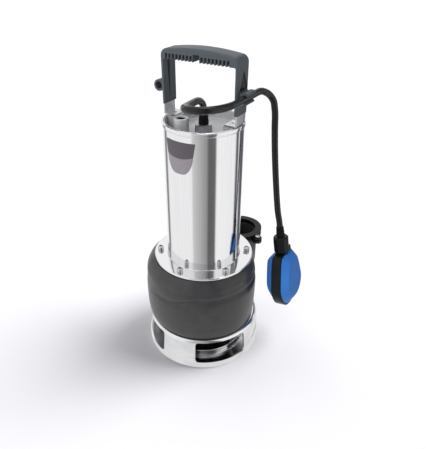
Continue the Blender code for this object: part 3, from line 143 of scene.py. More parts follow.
def float_cable():
    """The loop held by the cover's gland and the clip, and the length that hangs."""
    points, length = evened(LOOP_ROUTE, CABLE_STEP)
    loop = sheathed("cable_loop", points)
    loop.data.materials.append(NEOPRENE)
    finished(loop, "pump", "cable_rubber", "float_cable_loop")
    points, length = evened(DROP_ROUTE, CABLE_STEP)
    line = sheathed("drop_line", points)
    data = bpy.data.meshes.new_from_object(line)
    bpy.data.objects.remove(line)
    drop = bpy.data.objects.new("cable_drop", data)
    bpy.context.scene.collection.objects.link(drop)
    data.materials.clear()
    data.materials.append(NEOPRENE)
    data.shade_smooth()
    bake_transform(drop)
    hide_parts("float_cable_drop")


# ---- making materials ----


def linear(colour, alpha=1.0):
    """sRGB hex to the linear colour that a socket takes."""
    parts = [int(colour[i : i + 2], 16) / 255 for i in (0, 2, 4)]
    return tuple(
        ((c + 0.055) / 1.055) ** 2.4 if c > 0.04045 else c / 12.92 for c in parts
    ) + (alpha,)


def add(tree, kind, inputs=None, **settings):
    """A node with its settings, and its sockets given a value or linked."""
    made = tree.nodes.new("ShaderNode" + kind)
    for name, value in settings.items():
        setattr(made, name, value)
    for name, value in (inputs or {}).items():
        if isinstance(value, bpy.types.NodeSocket):
            tree.links.new(value, made.inputs[name])
        else:
            made.inputs[name].default_value = value
    return made


def material(name, roughness, metallic=0.0, **inputs):
    """A named material: its tree, its shader and its object coordinates in metres."""
    made = bpy.data.materials.new(name)
    made.use_nodes = True
    tree = made.node_tree
    shader = tree.nodes["Principled BSDF"]
    shader.inputs["Roughness"].default_value = roughness
    shader.inputs["Metallic"].default_value = metallic
    for key, value in inputs.items():
        shader.inputs[key.replace("_", " ")].default_value = value
    place = add(tree, "TexCoord").outputs["Object"]
    return made, tree, shader, place


def graded(tree, share, stops):
    """A colour for each share, from stops of (position, hex)."""
    made = add(tree, "ValToRGB", {"Fac": share})
    elements = made.color_ramp.elements
    for k, (at, colour) in enumerate(stops):
        stop = elements[k] if k < 2 else elements.new(at)
        stop.position = at
        stop.color = linear(colour)
    return made.outputs["Color"]


def noise(tree, place, sizes, detail):
    """A noise whose patches have these sizes in millimetres along X, Y and Z."""
    scale = tuple(1 / (size * MM) for size in sizes)
    spot = add(tree, "Mapping", {"Vector": place, "Scale": scale})
    settings = {"Vector": spot.outputs["Vector"], "Scale": 1.0, "Detail": detail}
    return add(tree, "TexNoise", settings).outputs["Fac"]


def varied(tree, shader, value, low, high):
    """Roughness from low to high as the pattern goes from its dark to its light."""
    settings = {"Value": value, "From Min": 0.32, "From Max": 0.68, "To Min": low, "To Max": high}
    reach = add(tree, "MapRange", settings)
    tree.links.new(reach.outputs["Result"], shader.inputs["Roughness"])


def raised(tree, shader, value, height, strength):
    """Fine relief, height millimetres deep."""
    settings = {"Height": value, "Distance": height * MM, "Strength": strength}
    bump = add(tree, "Bump", settings)
    tree.links.new(bump.outputs["Normal"], shader.inputs["Normal"])


def mottled(tree, pattern, light, dark, mid=0.5):
    """Two shades, mixed by the pattern round its middle."""
    return graded(tree, pattern, [(mid - 0.18, dark), (mid + 0.18, light)])


def skin(tree, shader, pattern, light, dark, rough, relief=None, mid=0.5):
    """Colour, roughness and, with a height and a strength, relief from one pattern."""
    colour = mottled(tree, pattern, light, dark, mid)
    tree.links.new(colour, shader.inputs["Base Color"])
    varied(tree, shader, pattern, *rough)
    if relief:
        raised(tree, shader, pattern, *relief)


# ---- making shapes ----


def smooth(t):
    """Eases a share from 0 to 1."""
    t = min(max(t, 0.0), 1.0)
    return t * t * (3 - 2 * t)


def polar(radius, azimuth):
    """X and Y of a point at this radius and azimuth in degrees."""
    a = math.radians(azimuth)
    return radius * math.cos(a), radius * math.sin(a)


def ring_of(count, radius, first=0.0):
    """Points evenly spaced on a circle."""
    return [polar(radius, first + 360 * i / count) for i in range(count)]


def arc(x, z, radius, start, end, steps):
    """Points round a centre, from one angle to the other."""
    points = []
    for i in range(steps + 1):
        u, v = polar(radius, start + (end - start) * i / steps)
        points.append((x + u, z + v))
    return points


def swept(mesh, geometry, angle, steps):
    """Spins the geometry about Z through an angle in degrees."""
    bmesh.ops.spin(
        mesh,
        geom=geometry,
        cent=(0, 0, 0),
        axis=(0, 0, 1),
        angle=math.radians(angle),
        steps=steps,
        use_merge=angle == 360,
    )
    bmesh.ops.remove_doubles(mesh, verts=mesh.verts, dist=1e-7)


def lathe(profile, steps=128, at=(0, 0, 0)):
    """A closed outline of (radius, height) in millimetres, spun about Z."""
    mesh = bmesh.new()
    points = [mesh.verts.new((r * MM, 0, z * MM)) for r, z in profile]
    edges = [
        mesh.edges.new((a, b))
        for a, b in zip(points, points[1:] + points[:1])
        if a.co.x > 1e-9 or b.co.x > 1e-9
    ]
    swept(mesh, points + edges, 360, steps)
    bmesh.ops.translate(mesh, verts=mesh.verts, vec=Vector(at) * MM)
    bmesh.ops.recalc_face_normals(mesh, faces=mesh.faces)
    return mesh


def along_z(u, v, w):
    return Vector((u, v, w)) * MM


def along_y(u, v, w):
    return Vector((u, w, v)) * MM


def along_x(u, v, w):
    return Vector((w, u, v)) * MM


def prism(outline, low, high, put=along_z):
    """A flat outline in millimetres, extruded from low to high."""
    mesh = bmesh.new()
    face = mesh.faces.new([mesh.verts.new(put(u, v, low)) for u, v in outline])
    added = bmesh.ops.extrude_face_region(mesh, geom=[face])["geom"]
    top = [e for e in added if isinstance(e, bmesh.types.BMVert)]
    bmesh.ops.translate(mesh, verts=top, vec=put(0, 0, high - low))
    bmesh.ops.recalc_face_normals(mesh, faces=mesh.faces)
    return mesh


def rod(radius, low, high, places, steps=24):
    """Round rods that stand at the given places, as one cutter."""
    profile = [(0, low), (radius, low), (radius, high), (0, high)]
    return joined([lathe(profile, steps, (x, y, 0)) for x, y in places])


def loft(rings):
    """Closed rings of points in metres, bridged in order and capped."""
    mesh = bmesh.new()
    loops = []
    for ring in rings:
        points = [mesh.verts.new(p) for p in ring]
        loops.append([mesh.edges.new(e) for e in zip(points, points[1:] + points[:1])])
    for near, far in zip(loops, loops[1:]):
        bmesh.ops.bridge_loops(mesh, edges=near + far)
    for loop in (loops[0], loops[-1]):
        bmesh.ops.contextual_create(mesh, geom=loop)
    bmesh.ops.recalc_face_normals(mesh, faces=mesh.faces)
    return mesh


def softened(mesh, edges, width, segments):
    """Rounds these edges, width millimetres wide."""
    bmesh.ops.bevel(
        mesh,
        geom=edges,
        offset=width * MM,
        segments=segments,
        profile=0.5,
        affect="EDGES",
        material=-1,
    )


def joined(parts):
    """Several closed meshes that don't touch, as one."""
    mesh = bmesh.new()
    for part in parts:
        data = bpy.data.meshes.new("part")
        part.to_mesh(data)
        part.free()
        mesh.from_mesh(data)
        bpy.data.meshes.remove(data)
    return mesh


def rounded(outline):
    """The outline with its corners cut off twice, so that they're round."""
    for _ in range(2):
        cut = []
        for (ax, ay), (bx, by) in zip(outline, outline[1:] + outline[:1]):
            cut.append((0.75 * ax + 0.25 * bx, 0.75 * ay + 0.25 * by))
            cut.append((0.25 * ax + 0.75 * bx, 0.25 * ay + 0.75 * by))
        outline = cut
    return outline


def shown(name, mesh):
    """A closed bmesh made into an object."""
    data = bpy.data.meshes.new(name)
    mesh.to_mesh(data)
    mesh.free()
    made = bpy.data.objects.new(name, data)
    bpy.context.scene.collection.objects.link(made)
    return made


def carve(piece, tool, how="DIFFERENCE"):
    """Cuts the tool's closed mesh from the piece, or joins it on, at once."""
    other = shown("tool", tool)
    step = piece.modifiers.new("carve", "BOOLEAN")
    step.operation = how
    step.solver = "EXACT"
    step.object = other
    bpy.context.view_layer.update()
    graph = bpy.context.evaluated_depsgraph_get()
    data = bpy.data.meshes.new_from_object(piece.evaluated_get(graph))
    piece.modifiers.clear()
    old = piece.data
    piece.data = data
    bpy.data.meshes.remove(old)
    bpy.data.objects.remove(other, do_unlink=True)
    data.name = piece.name


def finished(piece, body, slot, *nodes):
    """The piece rides on its body, and stands for its nodes of the model."""
    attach(piece, body)
    if nodes:
        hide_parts(*nodes)


def dressed(piece, finish, body, slot, *nodes, edge=0.0, segments=2, sharp=35):
    """Finish, shading and an edge rounding in millimetres, then its place."""
    data = piece.data
    data.materials.clear()
    data.materials.append(finish)
    data.shade_smooth()
    data.set_sharp_from_angle(angle=math.radians(sharp))
    if edge:
        step = piece.modifiers.new("edges", "BEVEL")
        step.width = edge * MM
        step.segments = segments
        step.limit_method = "ANGLE"
        step.angle_limit = math.radians(sharp)
        step.harden_normals = True
        step.use_clamp_overlap = True
    finished(piece, body, slot, *nodes)
    return piece


def socket_screw(name, x, y, seat, head, height, shank, depth, finish, down=False):
    """A cap screw with a rounded head and a hexagon socket, its head on the seat."""
    round_off = 0.4 * head
    profile = [(0, -depth), (shank - 0.5, -depth), (shank, 0.5 - depth), (shank, 0)]
    profile += [(head - 0.2, 0), (head, 0.2)]
    profile += arc(head - round_off, height - round_off, round_off, 0, 90, 5)
    profile += [(0, height)]
    piece = shown(f"socket_{name}", lathe(profile, 48))
    across = 0.56 * head
    carve(piece, prism(ring_of(6, across, 15), 0.45 * height, height + 2))
    turn = Matrix.Rotation(math.pi if down else 0, 4, "X")
    piece.data.transform(Matrix.Translation(Vector((x, y, seat)) * MM) @ turn)
    return dressed(piece, finish, "pump", "bright_steel", name, edge=0.12, sharp=40)


# ---- materials ----


def polished_steel():
    """Polished stainless tube: mirror-like, with faint lengthwise lines of the belt."""
    made, tree, shader, place = material("polished stainless steel", 0.1, 1.0)
    lines = noise(tree, place, (1.6, 1.6, 80), 2)
    skin(tree, shader, lines, "f0f0f1", "eaeaec", (0.09, 0.13))
    waves = noise(tree, place, (100 / 3, 100 / 3, 100), 1)
    raised(tree, shader, waves, 0.3, 0.08)
    return made


def drawn_steel():
    """Deep-drawn stainless of the base: polished, with a soft haze from the press."""
    made, tree, shader, place = material("drawn stainless steel", 0.16, 1.0)
    patches = noise(tree, place, (26, 26, 26), 4)
    skin(tree, shader, patches, "efeff0", "dfe0e2", (0.2, 0.12), mid=0.45)
    waves = noise(tree, place, (125 / 3, 125 / 3, 100 / 3), 1)
    raised(tree, shader, waves, 0.5, 0.08)
    return made


def satin_steel():
    """Satin stainless strip: a grain of 0.1 mm lines, drawn at 0.5 mm to show."""
    made, tree, shader, place = material("satin stainless steel", 0.3, 1.0, Anisotropic=0.4)
    grain = noise(tree, place, (0.5, 0.5, 0.5 / 0.03), 2)
    skin(tree, shader, grain, "dcdddf", "c6c8cb", (0.24, 0.36), (0.02, 0.4))
    return made


def blasted_steel():
    """Cast stainless, blasted: a soft sheen over a 1.6 mm pebbled skin."""
    made, tree, shader, place = material("blasted cast stainless steel", 0.42, 0.35)
    pebbles = noise(tree, place, (1.6, 1.6, 1.6), 3)
    skin(tree, shader, pebbles, "dededf", "bcbdbf", (0.32, 0.5), (0.22, 0.5))
    return made


def turned_steel():
    """Bright turned screws: rings of the tool too fine to show, drawn 0.8 mm apart."""
    made, tree, shader, place = material("turned stainless steel", 0.18, 1.0)
    skin(tree, shader, noise(tree, place, (3, 3, 3), 4), "dcdcde", "babcc0", (0.12, 0.26))
    settings = {"Vector": place, "Scale": 400.0, "Distortion": 0.6}
    rings = add(tree, "TexWave", settings, bands_direction="Z")
    raised(tree, shader, rings.outputs["Fac"], 0.01, 0.3)
    return made


def painted_iron():
    """Cast iron under satin black paint: sand grain of 1.5 mm showing through it."""
    paint = {"Specular_IOR_Level": 0.3, "Coat_Weight": 0.3, "Coat_Roughness": 0.2}
    made, tree, shader, place = material("black painted cast iron", 0.42, **paint)
    patches = noise(tree, place, (14, 14, 14), 6)
    skin(tree, shader, patches, "3c3c3d", "333334", (0.38, 0.5))
    raised(tree, shader, noise(tree, place, (1.5, 1.5, 1.5), 3), 0.14, 0.5)
    return made


def black_plastic():
    """Glass-filled nylon, moulded: near black with a faint eggshell texture."""
    made, tree, shader, place = material("black glass-filled nylon", 0.3, Specular_IOR_Level=0.2)
    grain = noise(tree, place, (1.2, 1.2, 1.2), 3)
    skin(tree, shader, grain, "151617", "0e0f10", (0.24, 0.34), (0.05, 0.4))
    return made


def grip_plastic():
    """Spark-textured polypropylene: slate grey with a dry, finely pebbled face."""
    made, tree, shader, place = material("slate grey polypropylene", 0.5)
    grain = noise(tree, place, (1, 1, 1), 3)
    skin(tree, shader, grain, "4c5459", "41494e", (0.42, 0.56), (0.06, 0.5))
    return made


def blue_plastic():
    """Moulded polypropylene: even blue, waxy, its skin faintly grained at 1.4 mm."""
    made, tree, shader, place = material("blue polypropylene", 0.45, Specular_IOR_Level=0.08)
    patches = noise(tree, place, (30, 30, 30), 3)
    skin(tree, shader, patches, "3f80cf", "3a78c6", (0.36, 0.46))
    raised(tree, shader, noise(tree, place, (1.4, 1.4, 1.4), 2), 0.03, 0.35)
    return made


def rubber():
    """Moulded nitrile rubber: black with a dusty bloom."""
    made, tree, shader, place = material("black nitrile rubber", 0.6, Specular_IOR_Level=0.15)
    bloom = noise(tree, place, (5, 5, 5), 5)
    skin(tree, shader, bloom, "141415", "0e0e0f", (0.5, 0.7), (0.05, 0.4))
    return made


def neoprene():
    """Neoprene cable sheath: black, softly shining along its length."""
    made, tree, shader, place = material("black neoprene sheath", 0.26, Specular_IOR_Level=0.4)
    bloom = noise(tree, place, (4, 4, 4), 4)
    skin(tree, shader, bloom, "111112", "0b0b0c", (0.22, 0.3), (0.04, 0.4))
    return made


def plated_nut():
    """Zinc-plated steel hexagon: dull grey with darker clouds."""
    made, tree, shader, place = material("zinc-plated steel", 0.34, 0.85)
    clouds = noise(tree, place, (6, 6, 6), 4)
    skin(tree, shader, clouds, "bdbec0", "9fa0a3", (0.28, 0.42), (0.02, 0.3))
    return made


def bare_plate():
    """Printed aluminium plate, bare: dark above a curved edge, pale below it."""
    made, tree, shader, place = material("printed aluminium plate", 0.38, 0.25)
    spot = add(tree, "SeparateXYZ", {"Vector": place})
    aside = add(tree, "Math", {0: spot.outputs["X"], 1: 3.7 * MM}, operation="ADD").outputs[0]
    square = add(tree, "Math", {0: aside, 1: aside}, operation="MULTIPLY").outputs[0]
    bent = {0: square, 1: -9.0, 2: spot.outputs["Z"]}
    edge = add(tree, "Math", bent, operation="MULTIPLY_ADD").outputs[0]
    zone = add(tree, "MapRange", {"Value": edge, "From Min": 363.6 * MM, "From Max": 364 * MM})
    grain = noise(tree, place, (2, 2, 2), 3)
    dark = mottled(tree, grain, "5c565d", "534e55")
    pale = mottled(tree, grain, "979296", "8c868b")
    tones = {0: zone.outputs["Result"], 6: pale, 7: dark}
    both = add(tree, "Mix", tones, data_type="RGBA")
    tree.links.new(both.outputs[2], shader.inputs["Base Color"])
    varied(tree, shader, grain, 0.32, 0.44)
    return made


def ceramic():
    """Sintered ceramic of the seal faces: off-white and lapped smooth."""
    made, tree, shader, place = material("sintered ceramic", 0.25)
    skin(tree, shader, noise(tree, place, (2, 2, 2), 4), "d9d4c8", "c9c3b5", (0.2, 0.32))
    return made


def laminations():
    """Stacked electrical steel: 0.5 mm sheets, drawn 2 mm thick to show."""
    made, tree, shader, place = material("electrical steel laminations", 0.45, 1.0)
    sheets = add(tree, "TexWave", {"Vector": place, "Scale": 157.0}, bands_direction="Z")
    colour = graded(tree, sheets.outputs["Fac"], [(0, "6a6d71"), (1, "8f9296")])
    tree.links.new(colour, shader.inputs["Base Color"])
    raised(tree, shader, sheets.outputs["Fac"], 0.05, 0.6)
    return made


def windings():
    """Enamelled copper wire, laid round the stator and varnished, drawn 2 mm thick."""
    varnish = {"Coat_Weight": 0.5, "Coat_Roughness": 0.15}
    made, tree, shader, place = material("enamelled copper wire", 0.3, 0.8, **varnish)
    settings = {"Vector": place, "Scale": 157.0, "Distortion": 1.5}
    strands = add(tree, "TexWave", settings, wave_type="RINGS", rings_direction="Z")
    colour = graded(tree, strands.outputs["Fac"], [(0, "7a3f1f"), (1, "b06a3a")])
    tree.links.new(colour, shader.inputs["Base Color"])
    raised(tree, shader, strands.outputs["Fac"], 0.3, 0.6)
    return made


def cast_aluminium():
    """Cast aluminium of the bearing holders: dull, with a 1.2 mm sand grain."""
    made, tree, shader, place = material("cast aluminium", 0.5, 1.0)
    sand = noise(tree, place, (1.2, 1.2, 1.2), 4)
    skin(tree, shader, sand, "a3a5a8", "85888b", (0.42, 0.58), (0.1, 0.5))
    return made


def capacitor_can():
    """Drawn aluminium can: pale, with fine lengthwise draw marks."""
    made, tree, shader, place = material("drawn aluminium can", 0.32, 1.0)
    marks = noise(tree, place, (20, 0.8, 0.8), 2)
    skin(tree, shader, marks, "c6c8cb", "b0b3b7", (0.26, 0.38))
    return made


POLISHED = polished_steel()
DRAWN = drawn_steel()
SATIN = satin_steel()
BLASTED = blasted_steel()
TURNED = turned_steel()
IRON = painted_iron()
NYLON = black_plastic()
SLATE = grip_plastic()
BLUE = blue_plastic()
RUBBER = rubber()
NEOPRENE = neoprene()
PLATED = plated_nut()
PLATE = bare_plate()
CERAMIC = ceramic()
LAMINATIONS = laminations()
WINDINGS = windings()
CAST = cast_aluminium()
CAN = capacitor_can()

# Pieces of the model whose own shape is right: most of them are inside the pump
KEPT = {
    RUBBER: ("foot_pad", "discharge_gasket", "flange_gasket"),
    TURNED: ("shaft", "impeller_nut", "lower_bearing", "upper_bearing", "switch_ball"),
    NYLON: ("impeller", "terminal_block", "switch_capsule"),
    CERAMIC: ("seal_ring", "seal_seat"),
    LAMINATIONS: ("rotor_core", "stator_core"),
    WINDINGS: ("winding_lower", "winding_upper"),
    CAST: ("bearing_carrier", "bearing_bracket"),
    CAN: ("capacitor",),
}


def kept_pieces():
    for finish, names in KEPT.items():
        for name in names:
            data = frame["nodes"][name].data
            data.materials.clear()
            data.materials.append(finish)


# ---- base and strainer ----

FOOT_RADIUS = 97.5
TIE_HOLE = 3.3
TIES = ring_of(4, 58.0, 5)


def window_wedges():
    """The four windows' cutter: wedges spun through 54 degrees, their ends rounded."""
    low, high, near, far = 12.7, 53.5, 80, 103
    corner, reach = 5.0, 27.0
    wedges = []
    for k in range(4):
        mesh = bmesh.new()
        corners = [(near, low), (far, low), (far, high), (near, high)]
        face = mesh.faces.new([mesh.verts.new((r * MM, 0, z * MM)) for r, z in corners])
        middle = math.radians(90 * k - 40)
        bmesh.ops.rotate(
            mesh,
            verts=mesh.verts,
            cent=(0, 0, 0),
            matrix=Matrix.Rotation(middle - math.radians(reach), 3, "Z"),
        )
        swept(mesh, [face] + list(mesh.edges) + list(mesh.verts), 2 * reach, 108)
        half = math.radians(reach)
        end = corner / FOOT_RADIUS
        for vert in mesh.verts:
            turn = (math.atan2(vert.co.y, vert.co.x) - middle + math.pi) % (2 * math.pi)
            past = max(0.0, abs(turn - math.pi) - half + end) / end
            off = corner * MM * (1 - math.sqrt(max(0.0, 1 - past * past)))
            vert.co.z += off if vert.co.z < 0.5 * (low + high) * MM else -off
        bmesh.ops.recalc_face_normals(mesh, faces=mesh.faces)
        wedges.append(mesh)
    return joined(wedges)


def base_and_strainer():
    """The drawn foot with its raised platform, and the windowed basket above it."""
    outside = [(94.6, 0), (96.4, 0.2), (97.0, 0.9), (97.35, 5), (FOOT_RADIUS, 8)]
    outside += arc(FOOT_RADIUS - 0.8, 22 - 0.8, 0.8, 0, 90, 3)
    inside = [(95.3, 22), (95.3, 4.4)] + arc(93.1, 4.4, 2.2, 0, -90, 4)
    platform = arc(72.2, 4.4, 2.2, -90, -180, 4) + arc(68.5, 11.5, 1.5, 0, 90, 4)
    under = [(0, 13), (0, 10.8), (67.8, 10.8), (67.8, 1.2), (69, 0)]
    base = shown("base", lathe(outside + inside + platform + under, 216))
    carve(base, window_wedges())
    carve(base, rod(TIE_HOLE, 5, 20, TIES))
    dressed(base, DRAWN, "pump", "polished_steel", "base_plate", edge=0.3)
    top = 57.0
    wall = arc(88, top - 7, 7, 0, 90, 10)
    inner = arc(88, top - 7, 4.8, 90, 0, 8)
    skirt = [(95.3, 22.3), (97.2, 22.3), (FOOT_RADIUS, 23.1)]
    mouth = [(66, top), (66, top - 2.2)]
    basket = shown("strainer", lathe(skirt + wall + mouth + inner, 216))
    carve(basket, window_wedges())
    dressed(basket, DRAWN, "pump", "polished_steel", "strainer_basket", edge=0.3)
    for i, (x, y) in enumerate(TIES, 1):
        socket_screw(f"tie_bolt_{i}", x, y, 10.5, 5.5, 5.0, 3.0, 52.3, TURNED, down=True)


def suction_cover():
    """The moulded cover under the impeller, with the mouth that the water enters."""
    outline = [(24.9, 50.9), (26, 50.3), (27, 50.3), (28, 51.3), (28, 57.3)]
    outline += [(78.6, 57.3), (79, 57.7), (79, 65.3), (24, 65.3), (24, 52.3)]
    cover = shown("suction_cover_piece", lathe(outline, 128))
    carve(cover, rod(TIE_HOLE, 50, 63.1, TIES))
    dressed(cover, NYLON, "pump", "black_plastic", "suction_cover", edge=0.4)


# ---- casing and discharge ----

CASING_BOTTOM = 57.3
CASING_TOP = 171.0
DRUM_RADIUS = 89.5
CASING_WALL = 6.0
# Outside of the drum: height, inset and share of the volute's growth
DRUM = [
    (CASING_BOTTOM, 2.3, 0.0), (59.8, 2.0, 0.5), (65.8, 1.6, 0.84), (77.3, 0.8, 0.97),
    (99.3, 0.0, 1.0), (129.5, 0.0, 1.0), (134.5, 0.3, 1.0), (137.5, 0.5, 1.0),
    (141.5, 0.9, 1.0), (151.0, 2.0, 1.0), (158.0, 4.3, 1.0), (165.0, 8.3, 1.0),
    (169.5, 11.6, 0.8), (CASING_TOP, 13.0, 0.75),
]
CENTRE = (6.5, 122.0)
FLANGE_TOP = 162.5
FLANGE_LOW = 156.8
PAD_TOP = 154.8
PAD_LOW = 149.8
LUG_REACH = 44.5
LUG_TURN = -17.5
LUGS = [(CENTRE[0] + x, CENTRE[1] + y) for x, y in ring_of(2, LUG_REACH, LUG_TURN)]
FLANGE_SCREWS = ring_of(6, 72.0, 30.0)
VOLUTE_START = 31.0
VOLUTE_SWEEP = 304.0
VOLUTE_GROWTH = 14.4
# Creases round the drum: height, depth and half width
CREASES = ((137.5, 3.2, 4.4), (151.5, 1.3, 2.6))


def volute(azimuth):
    """How far the casing has grown at this azimuth, in millimetres."""
    run = (VOLUTE_START - azimuth) % 360
    if run <= VOLUTE_SWEEP:
        return VOLUTE_GROWTH * run / VOLUTE_SWEEP
    return VOLUTE_GROWTH * smooth((360 - run) / (360 - VOLUTE_SWEEP))


def crease(azimuth):
    """Depth share and drop of the creases round the drum at this azimuth."""
    a = (azimuth + 180) % 360 - 180
    return smooth((a + 125) / 45) * smooth((62 - a) / 45), 10 * smooth((-62 - a) / 32)


def drum_profile():
    """The drum's outside in small steps: (radius, height, share of the growth)."""
    points = []
    for k in range(len(DRUM) - 1):
        here, there = Vector(DRUM[k]), Vector(DRUM[k + 1])
        before, after = Vector(DRUM[max(k - 1, 0)]), Vector(DRUM[min(k + 2, len(DRUM) - 1)])
        run = there.x - here.x
        start = (there - before) * run / (there.x - before.x)
        end = (after - here) * run / (after.x - here.x)
        for j in range(4):
            t = j / 4
            point = (2 * t**3 - 3 * t**2 + 1) * here + (t**3 - 2 * t**2 + t) * start
            point += (3 * t**2 - 2 * t**3) * there + (t**3 - t**2) * end
            points.append((point.x, point.y, point.z))
    points.append(DRUM[-1])
    return [(DRUM_RADIUS - inset, z, min(share, 1.0)) for z, inset, share in points]


def grown(mesh, outside):
    """Moves the spun drum's points outwards by the volute, and presses the creases in."""
    for vert in mesh.verts:
        r = math.hypot(vert.co.x, vert.co.y) / MM
        z = vert.co.z / MM
        apart, share = min((abs(r - u) + abs(z - v), s) for u, v, s in outside)
        if apart > 0.02:
            continue
        azimuth = math.degrees(math.atan2(vert.co.y, vert.co.x))
        depth, drop = crease(azimuth)
        out = r + share * volute(azimuth)
        if r > DRUM_RADIUS - 14 and z > 99:
            for middle, deep, wide in CREASES:
                out -= deep * depth * math.exp(-(((z - middle) / wide) ** 2))
            z -= drop * smooth((z - 99.3) / 30.2) * smooth((151 - z) / 9.5)
        vert.co.x *= out / r
        vert.co.y *= out / r
        vert.co.z = z * MM


def neck(radius, top):
    """The upright discharge with the round elbow under it."""
    return lathe(arc(0, 97, radius, -90, 0, 12) + [(radius, top), (0, top)], 72, (*CENTRE, 0))


def duct(start, end):
    """The way out of the volute, widening towards the elbow."""
    a, b = Vector((-38.0, 72.0, 97.0)), Vector((*CENTRE, 97.0))
    side = (b - a).cross((0, 0, 1)).normalized()
    rings = []
    for centre, radius in ((a, start), (b, end)):
        circle = ring_of(48, radius)
        rings.append([(centre + side * u + Vector((0, 0, v))) * MM for u, v in circle])
    return loft(rings)


def lug_outline(radius, lug=8.0):
    """Round outline with two lugs, about the discharge's centre."""
    side = math.degrees(math.asin(lug / LUG_REACH))
    foot = math.degrees(math.asin(lug / radius))
    steps = [0, 0.2, 0.4, 0.55, 0.7, 0.8, 0.9, 0.97, 1.0]
    angles = []
    for way in (0, 180):
        angles += [way - foot] + [way - side * s for s in reversed(steps[1:])]
        angles += [way + side * s for s in steps] + [way + foot]
        span = 180 - 2 * foot
        angles += [way + foot + span * k / 36 for k in range(1, 36)]
    outline = []
    for angle in angles:
        across = abs(math.sin(math.radians(angle)))
        ahead = abs(math.cos(math.radians(angle)))
        reach = radius
        if across * LUG_REACH <= lug * 1.0001:
            rest = lug**2 - (LUG_REACH * across) ** 2
            reach = LUG_REACH * ahead + math.sqrt(max(0.0, rest))
        x, y = polar(reach, angle + LUG_TURN)
        outline.append((CENTRE[0] + x, CENTRE[1] + y))
    return outline


def casing():
    """The cast volute with its duct, discharge neck and oil chamber."""
    drum = drum_profile()
    wall = DRUM_RADIUS - CASING_WALL
    chamber = [(75.5, 126, 1), (wall, 118, 1), (wall, 74, 1), (77.5, 68, 1)]
    inside = [(54, CASING_TOP), (54, 163), (64, 163), (64, 138), (18.3, 138), (18.3, 126)]
    mouth = [(76, 68), (76, 65.6), (79.3, 65.6), (79.3, CASING_BOTTOM)]
    profile = [(r, z) for r, z, _ in drum] + inside
    profile += [(r, z) for r, z, _ in chamber] + mouth
    mesh = lathe(profile, 192)
    grown(mesh, drum + chamber)
    bmesh.ops.recalc_face_normals(mesh, faces=mesh.faces)
    piece = shown("casing", mesh)
    bore = 26.0
    carve(piece, duct(22.4, 29.4), "UNION")
    carve(piece, neck(31.4, 152.3), "UNION")
    carve(piece, prism(lug_outline(39.5), PAD_LOW, PAD_TOP), "UNION")
    carve(piece, prism(lug_outline(41.0, 9.5), PAD_TOP, CASING_TOP + 20))
    carve(piece, neck(bore, FLANGE_TOP + 5))
    carve(piece, duct(17.0, bore - 2))
    carve(piece, rod(3.1, 161.2, CASING_TOP + 20, FLANGE_SCREWS))
    carve(piece, rod(2.9, PAD_LOW - 2, FLANGE_TOP, LUGS))
    dressed(piece, IRON, "pump", "black_casting", "pump_casing", sharp=38)


def discharge():
    """The loose flange on the discharge neck, and its two screws in their lugs."""
    flange = shown("outlet_flange", prism(lug_outline(39.5), FLANGE_LOW, FLANGE_TOP))
    carve(flange, rod(28, FLANGE_LOW - 5, FLANGE_TOP + 5, [CENTRE], 96))
    carve(flange, rod(2.9, FLANGE_LOW - 5, FLANGE_TOP, LUGS))
    step = [(39.5, 158.5), (62, 158.5), (62, 170), (39.5, 170)]
    carve(flange, lathe(step, 96, (*CENTRE, 0)))
    dressed(flange, NYLON, "pump", "black_plastic", "discharge_flange", edge=0.7, segments=3)
    for i, (x, y) in enumerate(LUGS, 1):
        socket_screw(f"discharge_screw_{i}", x, y, 158.8, 4.2, 3.5, 2.6, 8, TURNED)


# ---- motor housing ----

FLANGE_BOTTOM = 173.0
FLANGE_HIGH = 177.0
BARREL_TOP = 397.2
BARREL_BORE = 58.2
PLATE_RADIUS = 60.3
RIM_TOP = 404.0


def motor_housing():
    """The polished barrel on its round flange, with the rolled rim at its top."""
    lower = arc(80.7, FLANGE_BOTTOM + 0.9, 0.9, -90, 0, 4)
    upper = arc(80.6, FLANGE_HIGH - 1.0, 1.0, 0, 90, 5)
    ring = [(60.3, FLANGE_BOTTOM)] + lower + upper + [(60.3, FLANGE_HIGH)]
    flange = shown("flange_plate", lathe(ring, 240))
    carve(flange, rod(3.1, FLANGE_BOTTOM - 5, FLANGE_HIGH + 5, FLANGE_SCREWS))
    dressed(flange, POLISHED, "pump", "polished_steel", "motor_flange", edge=0.15)
    foot = [(BARREL_BORE, FLANGE_BOTTOM), (60, FLANGE_BOTTOM), (60, 177.05)]
    weld = [(61.0, 177.05), (60.45, 177.3), (60.1, 177.9), (60, 178.8)]
    wall = [(60, 200), (60, 240), (60, 280), (60, 320), (60, 360)]
    top = [(60, BARREL_TOP - 0.4), (59.7, BARREL_TOP), (BARREL_BORE, BARREL_TOP)]
    barrel = shown("barrel", lathe(foot + weld + wall + top, 240))
    dressed(barrel, POLISHED, "pump", "polished_steel", "motor_barrel")
    roll = [(BARREL_BORE, 397.5)] + arc(60.1, 398.7, 1.2, -90, 0, 4)
    groove = [(61.3, 399.4), (60.75, 399.7), (60.75, 400.1), (61.3, 400.4)]
    crown = arc(60.0, RIM_TOP - 1.3, 1.3, 0, 90, 6)
    crown += [(58.4, RIM_TOP), (BARREL_BORE, RIM_TOP - 0.2)]
    rim = shown("rim", lathe(roll + groove + crown, 240))
    dressed(rim, POLISHED, "pump", "polished_steel", "rim_ring")
    for i, (x, y) in enumerate(FLANGE_SCREWS, 1):
        socket_screw(f"flange_screw_{i}", x, y, 177.3, 4.8, 6.8, 2.8, 16, TURNED)
    plate()


